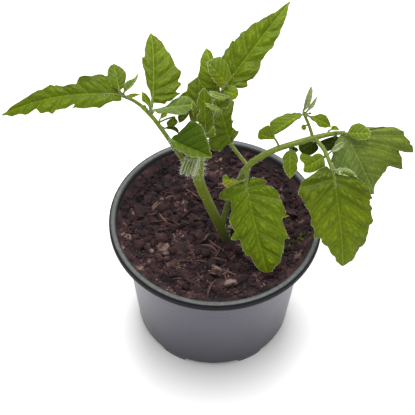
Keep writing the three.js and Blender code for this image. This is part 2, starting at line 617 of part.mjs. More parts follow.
// The long leaf that leaves the node and reaches out to the left.
function leftLeaf() {
  const rachis = stalk(
    [
      [-11.5, -8, 142], [-15.6, -7.8, 148], [-20.4, -6.2, 155], [-27.3, -2, 164.9], [-38.2, 4.4, 179],
      [-46.7, 8, 186.1], [-54.5, 9, 190],
    ],
    [1.9, 1.8, 1.6, 1.4, 1.3, 1.1, 1],
    8,
    2,
  );
  return joined([
    rachis,
    // End leaflet and the small ones at its base.
    stalkedLeaflet([[-53, 8.8, 189.2]], 1, {
      base: [-55, 9, 190.4], tip: [-122.6, 4, 176.9], face: [-0.1, -0.5, 0.85], arch: 0.05, sweep: 0.06,
      right: [
        [0.03, 0.05], [0.1, 0.14], [0.17, 0.16], [0.32, 0.15], [0.34, 0.09], [0.43, 0.08],
        [0.56, 0.11], [0.68, 0.09], [0.77, 0.07], [0.83, 0.05], [0.92, 0.02],
      ],
      left: [
        [0.04, 0.05], [0.12, 0.07], [0.21, 0.12], [0.4, 0.11], [0.4, 0.08], [0.5, 0.11],
        [0.58, 0.12], [0.67, 0.1], [0.7, 0.06], [0.79, 0.08], [0.91, 0.04],
      ],
    }),
    stalkedLeaflet([[-53.5, 8.9, 189.6]], 0.8, {
      base: [-56, 10, 193.2], tip: [-59.7, 26, 198], face: [0, -0.5, 0.85], arch: 0.08, fold: 4,
      right: [[0.09, 0.19], [0.43, 0.32], [0.66, 0.29], [0.84, 0.15]],
      left: [[0.17, 0.2], [0.48, 0.28], [0.79, 0.25], [0.94, 0.14]],
    }),
    stalkedLeaflet([[-53, 8.8, 189.4]], 0.6, {
      base: [-53.4, 8.5, 193.4], tip: [-45.6, 16, 201.4], face: [0, -0.6, 0.8], sweep: 0.08, fold: 10,
      right: [[0.19, 0.04], [0.52, 0.07], [0.86, 0.06]],
      left: [[0.23, 0.23], [0.48, 0.24], [0.72, 0.08]],
    }),
    stalkedLeaflet([[-52, 8.7, 188.8]], 0.6, {
      base: [-51.6, 8, 191], tip: [-44.3, 4.5, 196.6], face: [0, -0.5, 0.8], fold: 14,
      right: [[0.37, 0.17], [0.7, 0.15]],
      left: [[0.33, 0.08], [0.68, 0.08]],
    }),
    // Leaflet that stands up and back from the middle of the rachis.
    stalkedLeaflet([[-38.6, 5.4, 181]], 1, {
      base: [-37.8, 10, 183.4], tip: [-40, 52, 196.8], face: [0, -0.4, 0.9], sweep: 0.03, cup: 0.35,
      right: [
        [-0.01, 0.16], [0.07, 0.28], [0.15, 0.35], [0.18, 0.3], [0.26, 0.36], [0.3, 0.32],
        [0.43, 0.34], [0.65, 0.23], [0.86, 0.12], [0.95, 0.05],
      ],
      left: [
        [0.06, 0.03], [0.19, 0.07], [0.31, 0.1], [0.42, 0.13], [0.54, 0.14], [0.64, 0.15],
        [0.67, 0.12], [0.81, 0.1], [0.93, 0.05], [0.97, 0.02],
      ],
    }),
    // Leaflet on the inner side, with a young one under its end.
    stalkedLeaflet([[-37.4, 4.9, 180.4]], 0.8, {
      base: [-36.6, 6.6, 181.2], tip: [-14.1, 14, 178.9], face: [0, -0.5, 0.86], arch: 0.04, fold: 4,
      right: [[0.09, 0.11], [0.29, 0.13], [0.48, 0.2], [0.66, 0.21], [0.84, 0.15]],
      left: [[0.14, 0.03], [0.3, 0.05], [0.49, 0.16], [0.71, 0.22], [0.9, 0.18]],
    }),
    stalkedLeaflet([[-17.6, 13, 179.4]], 0.6, {
      base: [-17.5, 13, 175.8], tip: [-22.5, 8.4, 168.6], face: [0, -0.5, 0.86], fold: 4,
      right: [[0.3, 0.22], [0.7, 0.26]],
      left: [[0.3, 0.22], [0.7, 0.18]],
    }),
    stalkedLeaflet([[-33.4, 2.5, 175.6], [-29.5, 6, 174.6]], 0.6, {
      base: [-25, 8.5, 173.6], tip: [-27.4, 4.5, 167.4], face: [0, -0.5, 0.85],
      right: [[0.3, 0.3], [0.57, 0.42], [0.75, 0.35]],
      left: [[0.21, 0.35], [0.52, 0.3], [0.78, 0.12]],
    }),
    // Folded leaflet that points forward over the node.
    stalkedLeaflet([[-27.3, -2, 164.9]], 1, {
      base: [-26.6, -5, 169.2], tip: [-3.2, -16, 167.7], face: [0, -0.55, 0.83],
      arch: 0.08, fold: 24, cup: 0.2,
      right: [[0.08, 0.1], [0.22, 0.17], [0.39, 0.22], [0.58, 0.21], [0.77, 0.16], [0.92, 0.09]],
      left: [[0.05, 0.13], [0.14, 0.31], [0.28, 0.52], [0.53, 0.57], [0.72, 0.44], [0.86, 0.14]],
    }),
    // Tiny leaflets and slivers along the rachis.
    stalkedLeaflet([[-33.5, 2.7, 175.8]], 0.5, {
      base: [-33.2, 3.4, 177.4], tip: [-28.6, 5.4, 180.6], face: [0, -0.5, 0.85],
      right: [[0.37, 0.14], [0.72, 0.18]],
      left: [[0.4, 0.3], [0.8, 0.28]],
    }),
    stalkedLeaflet([[-31.5, 1.3, 172.8]], 0.5, {
      base: [-30.4, 2, 171.2], tip: [-22.4, 5, 163], face: [0, -0.5, 0.85], sweep: -0.12, fold: 10,
      right: [[0.22, 0.07], [0.55, 0.07], [0.86, 0.05]],
      left: [[0.17, 0.1], [0.49, 0.14], [0.86, 0.11]],
    }),
    stalkedLeaflet([[-38.6, 5.4, 181.4]], 0.6, {
      base: [-39, 6, 184.4], tip: [-43.4, 11, 191.4], face: [0.3, -0.6, 0.7], fold: 20, cup: 0,
      right: [[0.37, 0.22], [0.8, 0.16]],
      left: [[0.34, 0.16], [0.61, 0.29]],
    }),
    stalkedLeaflet([[-40.4, 6, 182.4]], 0.6, {
      base: [-40.6, 4.6, 184.6], tip: [-44, 3.6, 187], face: [0, -0.6, 0.8], fold: 5,
      right: [[0.31, 0.37], [0.82, 0.31]],
      left: [[0.13, 0.3], [0.69, 0.3]],
    }),
  ]);
}

// The upright leaf that leaves the stem near its top and points up and back to the right.
function topLeaf() {
  const petiole = stalk(
    [[-9.6, 0, 169], [-6.4, 4, 173.4], [-1.8, 10, 181.5], [1.8, 14.6, 188.6], [2.8, 16.4, 190.8]],
    [1.6, 1.5, 1.4, 1.3, 1.1],
    7,
    2,
  );
  return joined([
    petiole,
    stalkedLeaflet([[1.6, 14.4, 188.4]], 1.2, {
      base: [2.6, 16, 190.8], tip: [39.1, 60, 216.3], face: [0.05, -0.4, 0.9], arch: 0.05, fold: 8,
      right: [
        [0.03, 0.07], [0.08, 0.13], [0.13, 0.17], [0.18, 0.15], [0.3, 0.17], [0.39, 0.13],
        [0.53, 0.13], [0.62, 0.12], [0.69, 0.11], [0.75, 0.09], [0.88, 0.05],
      ],
      left: [
        [0.06, 0.09], [0.16, 0.16], [0.27, 0.18], [0.38, 0.19], [0.4, 0.17], [0.49, 0.18],
        [0.58, 0.14], [0.68, 0.11], [0.78, 0.07], [0.89, 0.04], [0.96, 0.015],
      ],
    }),
    stalkedLeaflet([[0.4, 12.8, 186]], 0.9, {
      base: [-0.4, 14.4, 190], tip: [-8, 34, 204.1], face: [-0.1, -0.5, 0.86], arch: 0.08, cup: 0.4,
      right: [[0.15, 0.13], [0.37, 0.2], [0.58, 0.24], [0.69, 0.1], [0.89, 0.08]],
      left: [[-0.01, 0.27], [0.22, 0.37], [0.41, 0.36], [0.69, 0.24], [0.9, 0.1]],
    }),
    stalkedLeaflet([[1.6, 14.4, 188.2]], 0.8, {
      base: [4.3, 13.4, 190.4], tip: [11.1, 10, 192.6], face: [0.1, -0.5, 0.86],
      arch: 0.1, fold: 4, cup: 0.4,
      right: [[0.3, 0.4], [0.68, 0.53], [0.9, 0.36]],
      left: [[0.22, 0.29], [0.54, 0.4], [0.87, 0.18]],
    }),
    stalkedLeaflet([[-1.8, 10, 181.5], [-2.6, 8.6, 186]], 0.8, {
      base: [-2.8, 7.6, 189], tip: [6.7, 6, 190.2], face: [0, -0.5, 0.86], arch: 0.2, fold: -4, cup: 0.5,
      right: [[0.23, 0.31], [0.53, 0.43], [0.84, 0.32]],
      left: [[0.13, 0.21], [0.41, 0.26], [0.75, 0.19]],
    }),
  ]);
}

// A leaf's foot is cut back round the stem that carries it, which leaves the clearance.
const seatedOnStem = (leaf) => largest(leaf.subtract(mainStem(GAP)));

// Three hairy flower buds that hang side by side in front of the node from one short stalk.
function budCluster() {
  const spray = stalk(
    [[-10.9, -7, 157], [-12.4, -11, 161.6], [-15.6, -11.4, 161.6], [-18.6, -11.2, 160]],
    [1.2, 1.3, 1.3, 1.1],
    6,
    2,
  );
  const hung = [
    [[-18.6, -11.2, 160], [-21.2, -14, 149.1]],
    [[-15.6, -11.4, 161.4], [-17.8, -14.6, 148.9]],
    [[-12.4, -11.3, 161.6], [-14.1, -15, 149.1]],
  ];
  const buds = hung.map(([top, end]) => {
    const point = (share) => vec(top).lerp(vec(end), share).toArray();
    return stalk([0, 0.3, 0.6, 0.88, 1].map(point), [0.9, 1.5, 1.75, 1.4, 0.5], 6, 1);
  });
  return joined([spray, ...buds]);
}

// ---- Assembly -----------------------------------------------------------------------------

const finish = (color, roughness) => new THREE.MeshStandardMaterial({ color, roughness, metalness: 0 });
const POT_BLACK = finish('#3a3a3e', 0.45);
const COMPOST_BROWN = finish('#3b2a24', 0.95);
const STEM_GREEN = finish('#7c9440', 0.6);
const LEAF_GREEN = finish('#5f8a1f', 0.6);
const YOUNG_GREEN = finish('#87a648', 0.7);

const plant = new THREE.Group();
plant.add(toMesh(pot(), 'pot', POT_BLACK));
plant.add(toMesh(soil(), 'soil', COMPOST_BROWN));
plant.add(toMesh(stemWithTip(), 'main_stem', STEM_GREEN));
plant.add(toMesh(seatedOnStem(rightLeaf()), 'leaf_right', LEAF_GREEN));
plant.add(toMesh(seatedOnStem(leftLeaf()), 'leaf_left', LEAF_GREEN));
plant.add(toMesh(seatedOnStem(topLeaf()), 'leaf_top', LEAF_GREEN));
plant.add(toMesh(seatedOnStem(budCluster()), 'flower_buds', YOUNG_GREEN));

export default plant;
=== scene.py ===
"""A young tomato plant in a round moulded nursery pot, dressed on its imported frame."""

import bmesh
import bpy
import numpy as np
from mathutils import Matrix


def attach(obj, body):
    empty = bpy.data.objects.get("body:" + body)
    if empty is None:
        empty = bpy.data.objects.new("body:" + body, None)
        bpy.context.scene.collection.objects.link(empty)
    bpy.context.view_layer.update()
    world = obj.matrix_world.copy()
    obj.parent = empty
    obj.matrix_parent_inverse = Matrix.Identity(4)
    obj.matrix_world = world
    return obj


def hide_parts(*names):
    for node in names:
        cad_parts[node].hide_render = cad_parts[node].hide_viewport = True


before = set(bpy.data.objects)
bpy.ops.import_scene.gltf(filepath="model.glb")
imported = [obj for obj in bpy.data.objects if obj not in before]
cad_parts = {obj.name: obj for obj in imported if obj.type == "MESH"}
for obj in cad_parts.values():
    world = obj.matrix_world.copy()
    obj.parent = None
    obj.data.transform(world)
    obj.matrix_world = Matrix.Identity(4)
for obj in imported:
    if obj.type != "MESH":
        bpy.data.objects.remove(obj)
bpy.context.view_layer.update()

MM = 0.001  # shapes are worked out in millimetres and scaled once, when a mesh is made


# ---- Camera ------------------------------------------------------------------------------
# A long lens looks down at the pot from the front, from just above arm's length.
# It is turned a little clockwise about its own line of sight.

CAMERA_DISTANCE = 906  # from the point looked at, in millimetres
CAMERA_ELEVATION = np.radians(51.86)
CAMERA_ROLL = np.radians(1.38)
LOOKED_AT = np.array([-5.03, 0.0, 101.7])
LENS = 130.1  # millimetres, on a sensor 36 mm wide

camera = bpy.data.objects.new("camera", bpy.data.cameras.new("camera"))
bpy.context.scene.collection.objects.link(camera)
back = np.array([0, -np.cos(CAMERA_ELEVATION), np.sin(CAMERA_ELEVATION)])
level = np.array([1.0, 0.0, 0.0])
upright = np.cross(back, level)
right_hand = np.cos(CAMERA_ROLL) * level + np.sin(CAMERA_ROLL) * upright
turned = np.eye(4)
turned[:3, 0] = right_hand
turned[:3, 1] = np.cross(back, right_hand)
turned[:3, 2] = back
turned[:3, 3] = (LOOKED_AT + CAMERA_DISTANCE * back) * MM
camera.matrix_world = Matrix(turned.tolist())
camera.data.lens = LENS
camera.data.sensor_width = 36
camera.data.clip_end = 20
bpy.context.scene.camera = camera


# ---- Floor and light ---------------------------------------------------------------------
# The pot stands on a seamless sheet of matt white paper in a light tent. White cloth all
# round gives nearly even light, and two big soft lamps give it a direction.

def linear(colour):
    """An sRGB hex colour as linear light: a channel up to 0.04045 is divided by 12.92, and a
    higher one has 0.055 added, is divided by 1.055 and raised to the power 2.4."""
    srgb = np.array([int(colour[i : i + 2], 16) for i in (1, 3, 5)]) / 255
    light = np.where(srgb <= 0.04045, srgb / 12.92, ((srgb + 0.055) / 1.055) ** 2.4)
    return (*light.tolist(), 1.0)


def add_node(tree, kind, inputs=None, **settings):
    """Adds one node. settings are its properties. inputs gives its sockets, by name or
    number, a value or another node's output."""
    node = tree.nodes.new(kind)
    for name, value in settings.items():
        setattr(node, name, value)
    for socket, value in (inputs or {}).items():
        if isinstance(value, bpy.types.NodeSocket):
            tree.links.new(value, node.inputs[socket])
        else:
            node.inputs[socket].default_value = value
    return node


def bare_material(name):
    """A new material with an empty node tree."""
    material = bpy.data.materials.new(name)
    material.use_nodes = True
    material.node_tree.nodes.clear()
    return material, material.node_tree


def add_mesh(name, points, faces, material):
    """Makes an object at the origin, with its place in its mesh, from points in millimetres."""
    mesh = bpy.data.meshes.new(name)
    mesh.from_pydata((np.asarray(points) * MM).tolist(), [], faces)
    mesh.materials.append(material)
    made = bpy.data.objects.new(name, mesh)
    bpy.context.scene.collection.objects.link(made)
    return made


# Matt white paper: a plain diffuse surface with no gloss.
paper, tree = bare_material("white_background_paper_matt")
sheet = add_node(tree, "ShaderNodeBsdfDiffuse", {"Color": linear("#f8f8f8")})
add_node(tree, "ShaderNodeOutputMaterial", {"Surface": sheet.outputs[0]})

REACH = 6000
floor = add_mesh(
    "floor",
    [(-REACH, -REACH, 0), (REACH, -REACH, 0), (REACH, REACH, 0), (-REACH, REACH, 0)],
    [(0, 1, 2, 3)],
    paper,
)

world = bpy.data.worlds.new("light_tent")
world.use_nodes = True
world.node_tree.nodes["Background"].inputs["Color"].default_value = linear("#ffffff")
world.node_tree.nodes["Background"].inputs["Strength"].default_value = 0.87
bpy.context.scene.world = world
bpy.context.scene.view_settings.view_transform = "Standard"

# One disc hangs over the pot, and one stands behind it for the sheen on its sides and rim.
for name, lamp_place, watts in (
    ("overhead_lamp", (0.0, 0.09, 1.2), 12.0), ("back_lamp", (0.0, 0.8, 1.0), 10.0)
):
    lamp_data = bpy.data.lights.new(name, "AREA")
    lamp_data.shape = "DISK"
    lamp_data.size = 0.8
    lamp_data.energy = watts
    lamp = bpy.data.objects.new(name, lamp_data)
    bpy.context.scene.collection.objects.link(lamp)
    lamp.location = lamp_place
    lamp.rotation_euler = lamp.location.to_track_quat("Z", "Y").to_euler()


# ---- Pot ---------------------------------------------------------------------------------
# A thin-walled round nursery pot, injection moulded in black polypropylene. It stacks, so
# the wall tapers and has a faint shoulder. The rim is rolled out flat for grip, and six
# feet hold the drain slots off the ground.

POT_HEIGHT = 91
RIM_R = 65
RIM_INNER_R = 60.7
RIM_BAND = 4.8
LEDGE_R, LEDGE_Z = RIM_INNER_R - 0.4, POT_HEIGHT - 3.6  # where the wall turns in under the rim
NECK_R, NECK_Z = 56.4, 84.7
FOOT_R = 48
WALL = 1.2
SHOULDER_Z = 63
SHOULDER_STEP = 0.4
WINDOW_WIDTH, WINDOW_HEIGHT = 9, 6.5  # of the slanted gap in the shoulder step
WINDOW_TURN = 3  # degrees right of the front
DISC_R, CHANNEL_R, CHANNEL_LIFT, FLOOR = 34, 37, 3.2, 1.4
FEET, NOTCH_DEG = 6, 40
AXIS_R = 0.01  # radius of the tiny faces that close a turned shape on its axis
SLOT_LENGTH, SLOT_WIDTH = 12, 5


def wall_r(z):
    """Outer radius of the tapered wall at height z: a straight line from foot to neck."""
    return FOOT_R + (NECK_R - FOOT_R) * z / NECK_Z


def ease(low, high, value):
    """0 below low and 1 above high, with three squares less two cubes between."""
    share = np.clip((value - low) / (high - low), 0, 1)
    return share * share * (3 - 2 * share)


def rounded(profile, radius, steps=4):
    """A profile with its corners turned into short arcs. Each corner is left at up to radius
    before it and joined again after it by a parabola that has the corner as its handle."""
    profile = np.array(profile, float)
    before, corner, after = profile[:-2], profile[1:-1], profile[2:]
    run_in = np.linalg.norm(corner - before, axis=1, keepdims=True)
    run_out = np.linalg.norm(after - corner, axis=1, keepdims=True)
    start = corner + (before - corner) * np.minimum(0.45, radius / run_in)
    end = corner + (after - corner) * np.minimum(0.45, radius / run_out)
    share = np.linspace(0, 1, steps + 1)[:, None, None]
    arcs = (1 - share) ** 2 * start + 2 * share * (1 - share) * corner + share**2 * end
    return np.vstack([profile[:1], arcs.transpose(1, 0, 2).reshape(-1, 2), profile[-1:]])


def ring_faces(rings, sides):
    """Four-sided faces between successive rings of points, each ring closed on itself."""
    i, j = np.meshgrid(np.arange(rings - 1), np.arange(sides), indexing="ij")
    a, b = i * sides + j, i * sides + (j + 1) % sides
    return np.stack([a, b, b + sides, a + sides], axis=-1).reshape(-1, 4)


def smooth_shaded(made, degrees=35):
    """Shades a mesh smooth, with a crease where two faces meet at more than degrees."""
    made.data.polygons.foreach_set("use_smooth", [True] * len(made.data.polygons))
    made.data.set_sharp_from_angle(angle=np.radians(degrees))


def pot_surface():
    """The moulding as a profile carried round the upright axis. The radius loses the shoulder
    step inside the window's slanted outline, and the foot ring's height is lifted to the
    channel's between the feet."""
    foot_inner = FOOT_R - 2
    rim_under = POT_HEIGHT - RIM_BAND
    floor_top = CHANNEL_LIFT + FLOOR
    shoulder_r = wall_r(SHOULDER_Z) + SHOULDER_STEP
    window_rows = np.linspace(SHOULDER_Z + 0.5, SHOULDER_Z + WINDOW_HEIGHT + 1.5, 18)
    above = wall_r(window_rows) + SHOULDER_STEP
    profile = rounded(
        [
            [AXIS_R, 0], [DISC_R, 0], [CHANNEL_R, CHANNEL_LIFT], [foot_inner - 1.5, CHANNEL_LIFT],
            [foot_inner, 0], [FOOT_R - 0.2, 0], [wall_r(4), 4], [wall_r(20), 20],
            [wall_r(40), 40], [wall_r(SHOULDER_Z - 0.5), SHOULDER_Z - 0.5],
            [shoulder_r, SHOULDER_Z + 0.5], *np.stack([above, window_rows], 1)[1:].tolist(),
            [wall_r(NECK_Z) + SHOULDER_STEP, NECK_Z], [RIM_R - 0.6, rim_under - 0.4],
            [RIM_R, rim_under + 0.5], [RIM_R, POT_HEIGHT - 1], [RIM_R - 1.1, POT_HEIGHT],
            [RIM_INNER_R + 0.9, POT_HEIGHT], [RIM_INNER_R, POT_HEIGHT - 0.8],
            [LEDGE_R, LEDGE_Z], [NECK_R - WALL, NECK_Z],
            [wall_r(floor_top) - WALL, floor_top], [CHANNEL_R - 0.4, floor_top],
            [DISC_R - 0.6, FLOOR], [AXIS_R, FLOOR],
        ],
        0.6,
    )
    front = np.radians(-90 + WINDOW_TURN)
    close = front + np.radians(np.arange(-9, 9.01, 0.3))
    around = np.radians(np.arange(-90, 270, 1.875)) + front + np.pi / 2
    around = np.union1d(around[(around < close[0]) | (around > close[-1])], close)
    around = np.unique(np.round(np.mod(around - front + np.pi, 2 * np.pi) - np.pi, 6)) + front
    r, turn = np.meshgrid(profile[:, 0], around, indexing="ij")
    z = np.repeat(profile[:, 1][:, None], len(around), axis=1)

    sideways = np.abs((turn - front) * shoulder_r)
    slant = WINDOW_WIDTH / 2 + 2.5 * (1 - (z - SHOULDER_Z) / WINDOW_HEIGHT)
    in_window = (1 - ease(-0.3, 0.3, sideways - slant)) * ease(-0.55, 0.55, z - SHOULDER_Z)
    in_window *= 1 - ease(-0.5, 0.5, z - SHOULDER_Z - WINDOW_HEIGHT)
    r = r - SHOULDER_STEP * in_window * (r > wall_r(z) - 0.5)

    foot_turn = np.mod(turn + np.pi / 2 + np.pi / FEET, 2 * np.pi / FEET) - np.pi / FEET
    notch = 1 - ease(-0.6, 0.6, np.degrees(np.abs(foot_turn)) - NOTCH_DEG / 2)
    z = np.where(r > DISC_R + 6, np.maximum(z, (CHANNEL_LIFT - 0.2) * notch), z)
    points = np.stack([r * np.cos(turn), r * np.sin(turn), z], axis=-1).reshape(-1, 3)
    return points, ring_faces(len(profile), len(around)), len(around)


# Polypropylene, injection moulded in black: a slightly milky dark surface, satin from the
# mould, with faint upright flow marks, handling scuffs, and dried silt and algae at the rim.
polypropylene, tree = bare_material("polypropylene_black_moulded_satin")
place = add_node(tree, "ShaderNodeTexCoord").outputs["Object"]
height = add_node(tree, "ShaderNodeSeparateXYZ", {0: place}).outputs["Z"]
cloud = add_node(tree, "ShaderNodeTexNoise", {"Vector": place, "Scale": 38.0, "Detail": 5.0})
body = add_node(
    tree, "ShaderNodeMix", data_type="RGBA",
    inputs={0: cloud.outputs["Fac"], 6: linear("#403e4b"), 7: linear("#4d4b5a")},
)
# Painted shade: the wall is darker towards the foot, where less light comes back to it from
# the shadowed floor.
foot_shade = add_node(
    tree, "ShaderNodeMapRange",
    {"Value": height, "From Min": 0.0, "From Max": 0.055, "To Min": 0.35, "To Max": 1.0},
)
foot_shaded = add_node(
    tree, "ShaderNodeVectorMath", {0: body.outputs[2], 1: foot_shade.outputs[0]}, operation="MULTIPLY"
)
# The stretched noise gives upright flow marks about 3 mm wide.
streak_place = add_node(
    tree, "ShaderNodeMapping", {"Vector": place, "Scale": (1.0, 1.0, 0.05)}
)
streaks = add_node(
    tree, "ShaderNodeTexNoise",
    {"Vector": streak_place.outputs[0], "Scale": 330.0, "Detail": 3.0},
)
streaked = add_node(
    tree, "ShaderNodeMix", data_type="RGBA", blend_type="MULTIPLY",
    inputs={0: 0.25, 6: foot_shaded.outputs[0], 7: streaks.outputs["Fac"]},
)
# Silt lies on the rim's flat top, from 90 mm up, in patches of 2 to 6 mm. The rim band,
# from 86 mm up, is blacker than the wall.
on_rim = add_node(
    tree, "ShaderNodeMapRange", {"Value": height, "From Min": 0.0895, "From Max": 0.0908}
)
silt = add_node(tree, "ShaderNodeTexNoise", {"Vector": place, "Scale": 420.0, "Detail": 6.0})
patchy = add_node(
    tree, "ShaderNodeMapRange",
    {"Value": silt.outputs["Fac"], "From Min": 0.4, "From Max": 0.8},
)
rim_silt = add_node(
    tree, "ShaderNodeMath", {0: on_rim.outputs[0], 1: patchy.outputs[0]}, operation="MULTIPLY"
)
algae = add_node(tree, "ShaderNodeTexNoise", {"Vector": place, "Scale": 90.0, "Detail": 4.0})
silt_colour = add_node(
    tree, "ShaderNodeMix", data_type="RGBA",
    inputs={0: algae.outputs["Fac"], 6: linear("#444847"), 7: linear("#40462f")},
)
rim = add_node(
    tree, "ShaderNodeMapRange", {"Value": height, "From Min": 0.0858, "From Max": 0.0866}
)
rim_black = add_node(
    tree, "ShaderNodeMix", data_type="RGBA",
    inputs={0: rim.outputs[0], 6: streaked.outputs[2], 7: linear("#26282a")},
)
dirty = add_node(
    tree, "ShaderNodeMix", data_type="RGBA",
    inputs={0: rim_silt.outputs[0], 6: rim_black.outputs[2], 7: silt_colour.outputs[2]},
)
scuff = add_node(
    tree, "ShaderNodeTexNoise", {"Vector": place, "Scale": 900.0, "Detail": 3.0}
)
gloss = add_node(
    tree, "ShaderNodeMapRange",
    {"Value": cloud.outputs["Fac"], "To Min": 0.3, "To Max": 0.42},
)
rough = add_node(
    tree, "ShaderNodeMath", {0: rim.outputs[0], 1: 0.14, 2: gloss.outputs[0]},
    operation="MULTIPLY_ADD",
)
grain = add_node(
    tree, "ShaderNodeBump", {"Height": scuff.outputs["Fac"], "Strength": 0.12, "Distance": 0.0002}
)
# Inside, below the rim, the wall is painted near-black brown: compost dried on the wall, and
# painted shade in the pot's hollow. It is found by the radius with the wall's taper taken off,
# which is 48 mm outside and 46.8 inside. The rolled edge is painted blacker, as painted shade.
across = add_node(
    tree, "ShaderNodeVectorMath", {0: place, 1: (1.0, 1.0, 0.0)}, operation="MULTIPLY"
)
radius = add_node(tree, "ShaderNodeVectorMath", {0: across.outputs[0]}, operation="LENGTH")
lean = add_node(
    tree, "ShaderNodeMath", {0: height, 1: -0.0992, 2: radius.outputs["Value"]},
    operation="MULTIPLY_ADD",
)
inside = add_node(
    tree, "ShaderNodeMapRange", {"Value": lean.outputs[0], "From Min": 0.0476, "From Max": 0.0472}
)
soiled_and_shaded = add_node(
    tree, "ShaderNodeMix", data_type="RGBA",
    inputs={0: inside.outputs[0], 6: dirty.outputs[2], 7: linear("#17120f")},
)
# Painted shade on the rolled edge, beyond 63.6 mm: near-black.
band = add_node(
    tree, "ShaderNodeMapRange",
    {"Value": radius.outputs["Value"], "From Min": 0.0636, "From Max": 0.0646},
)
blacker = add_node(
    tree, "ShaderNodeMix", data_type="RGBA",
    inputs={0: band.outputs[0], 6: soiled_and_shaded.outputs[2], 7: linear("#0c0c0e")},
)
skin = add_node(
    tree, "ShaderNodeBsdfPrincipled",
    {
        "Base Color": blacker.outputs[2], "Roughness": rough.outputs[0],
        "Normal": grain.outputs[0], "IOR": 1.49,
    },
)
add_node(tree, "ShaderNodeOutputMaterial", {"Surface": skin.outputs[0]})

points, faces, sides = pot_surface()
last = len(points) - sides
ends = [list(range(sides))[::-1], list(range(last, last + sides))]
pot = add_mesh("moulded_pot", points, faces.tolist() + ends, polypropylene)

# The drain slots are cut through the raised channel, one between each two feet.
cutter = bmesh.new()
for foot in range(FEET):
    middle = ((CHANNEL_R + FOOT_R - 5) / 2 + 0.2) * MM
    slot_place = Matrix.Rotation(-np.pi / 2 + foot * 2 * np.pi / FEET, 4, "Z")
    slot_place @= Matrix.Translation((middle, 0, CHANNEL_LIFT * MM))
    slot_place @= Matrix.Diagonal((SLOT_WIDTH * MM, SLOT_LENGTH * MM, 6 * MM, 1))
    bmesh.ops.create_cube(cutter, size=1, matrix=slot_place)
slots = bpy.data.objects.new("drain_slots", bpy.data.meshes.new("drain_slots"))
cutter.to_mesh(slots.data)
cutter.free()
bpy.context.scene.collection.objects.link(slots)
cut = pot.modifiers.new("cut_slots", "BOOLEAN")
cut.object = slots
cut.solver = "EXACT"
slotted = pot.evaluated_get(bpy.context.evaluated_depsgraph_get())
slotted = bpy.data.meshes.new_from_object(slotted)
pot.modifiers.clear()
pot.data = slotted
bpy.data.objects.remove(slots)

# The rim's rolled edge: the same plastic, painted near-black and made dull as painted shade,
# so that it does not shine with the white tent.
painted_dark_edge, tree = bare_material("polypropylene_black_dull_painted_shade")
edge = add_node(
    tree, "ShaderNodeBsdfPrincipled",
    {"Base Color": linear("#121316"), "Roughness": 0.62, "Specular IOR Level": 0.12},
)
add_node(tree, "ShaderNodeOutputMaterial", {"Surface": edge.outputs[0]})
pot.data.materials.append(painted_dark_edge)
centres = np.empty(3 * len(pot.data.polygons))
pot.data.polygons.foreach_get("center", centres)
centres = centres.reshape(-1, 3) / MM
on_edge = (np.hypot(centres[:, 0], centres[:, 1]) > RIM_R - 0.85) & (centres[:, 2] > NECK_Z + 1)
pot.data.polygons.foreach_set("material_index", on_edge.astype(int))
smooth_shaded(pot)
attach(pot, "root")
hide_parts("pot")


# ---- Compost -----------------------------------------------------------------------------
# Damp peat and composted bark, filled to 9 mm below the rim and settled by watering. The bed
# is one lumpy body that fills the pot and laps over the step under its rim, and loose crumbs
# and bark fibres lie on it.

SOIL_Z = 82
SOIL_RELIEF = 1.1
CLEARANCE = 0.3
LAP_R, LAP_RISE = 60.1, 5.2  # how far out the bed laps over the step, and how far up
INNER_R = [FOOT_R - WALL, NECK_R - WALL, LEDGE_R, RIM_INNER_R]  # of the wall, at four heights


def lattice_noise(x, y, cell, seed):
    """Smooth noise from -1 to 1: random values on a square lattice with the given cell, eased
    from one lattice point to the next by three squares less two cubes."""
    values = np.random.default_rng(seed).uniform(-1, 1, (64, 64))
    column, row = np.floor(x / cell).astype(int), np.floor(y / cell).astype(int)
    across, along = ease(0, 1, x / cell - column), ease(0, 1, y / cell - row)
    near = values[row % 64, column % 64] * (1 - across)
    near += values[row % 64, (column + 1) % 64] * across
    far = values[(row + 1) % 64, column % 64] * (1 - across)
    far += values[(row + 1) % 64, (column + 1) % 64] * across
    return near * (1 - along) + far * along


def soil_height(x, y):
    """The level of the compost: broad swells and ripples, a rise over the pot's step, then
    lumps of 8, 4, 2 and 1 mm, each taken as a noise's distance from zero, so that they stand
    up with creases between."""
    swell = np.sin(x * 0.11 + 1) * np.cos(y * 0.09)
    ripple = np.sin(x * 0.47 + 2 * np.cos(y * 0.31)) * np.cos(y * 0.53 + x * 0.2)
    level = SOIL_Z + SOIL_RELIEF * (0.6 * swell + 0.6 * ripple)
    level = level + LAP_RISE * ease(49, LAP_R + 2, np.hypot(x, y))
    for cell, height, seed in ((8, 1.5, 1), (4, 1.3, 2), (2.1, 0.9, 3), (1.1, 0.45, 4)):
        level = level + height * (0.45 - np.abs(lattice_noise(x + 200, y + 200, cell, seed)))
    return level


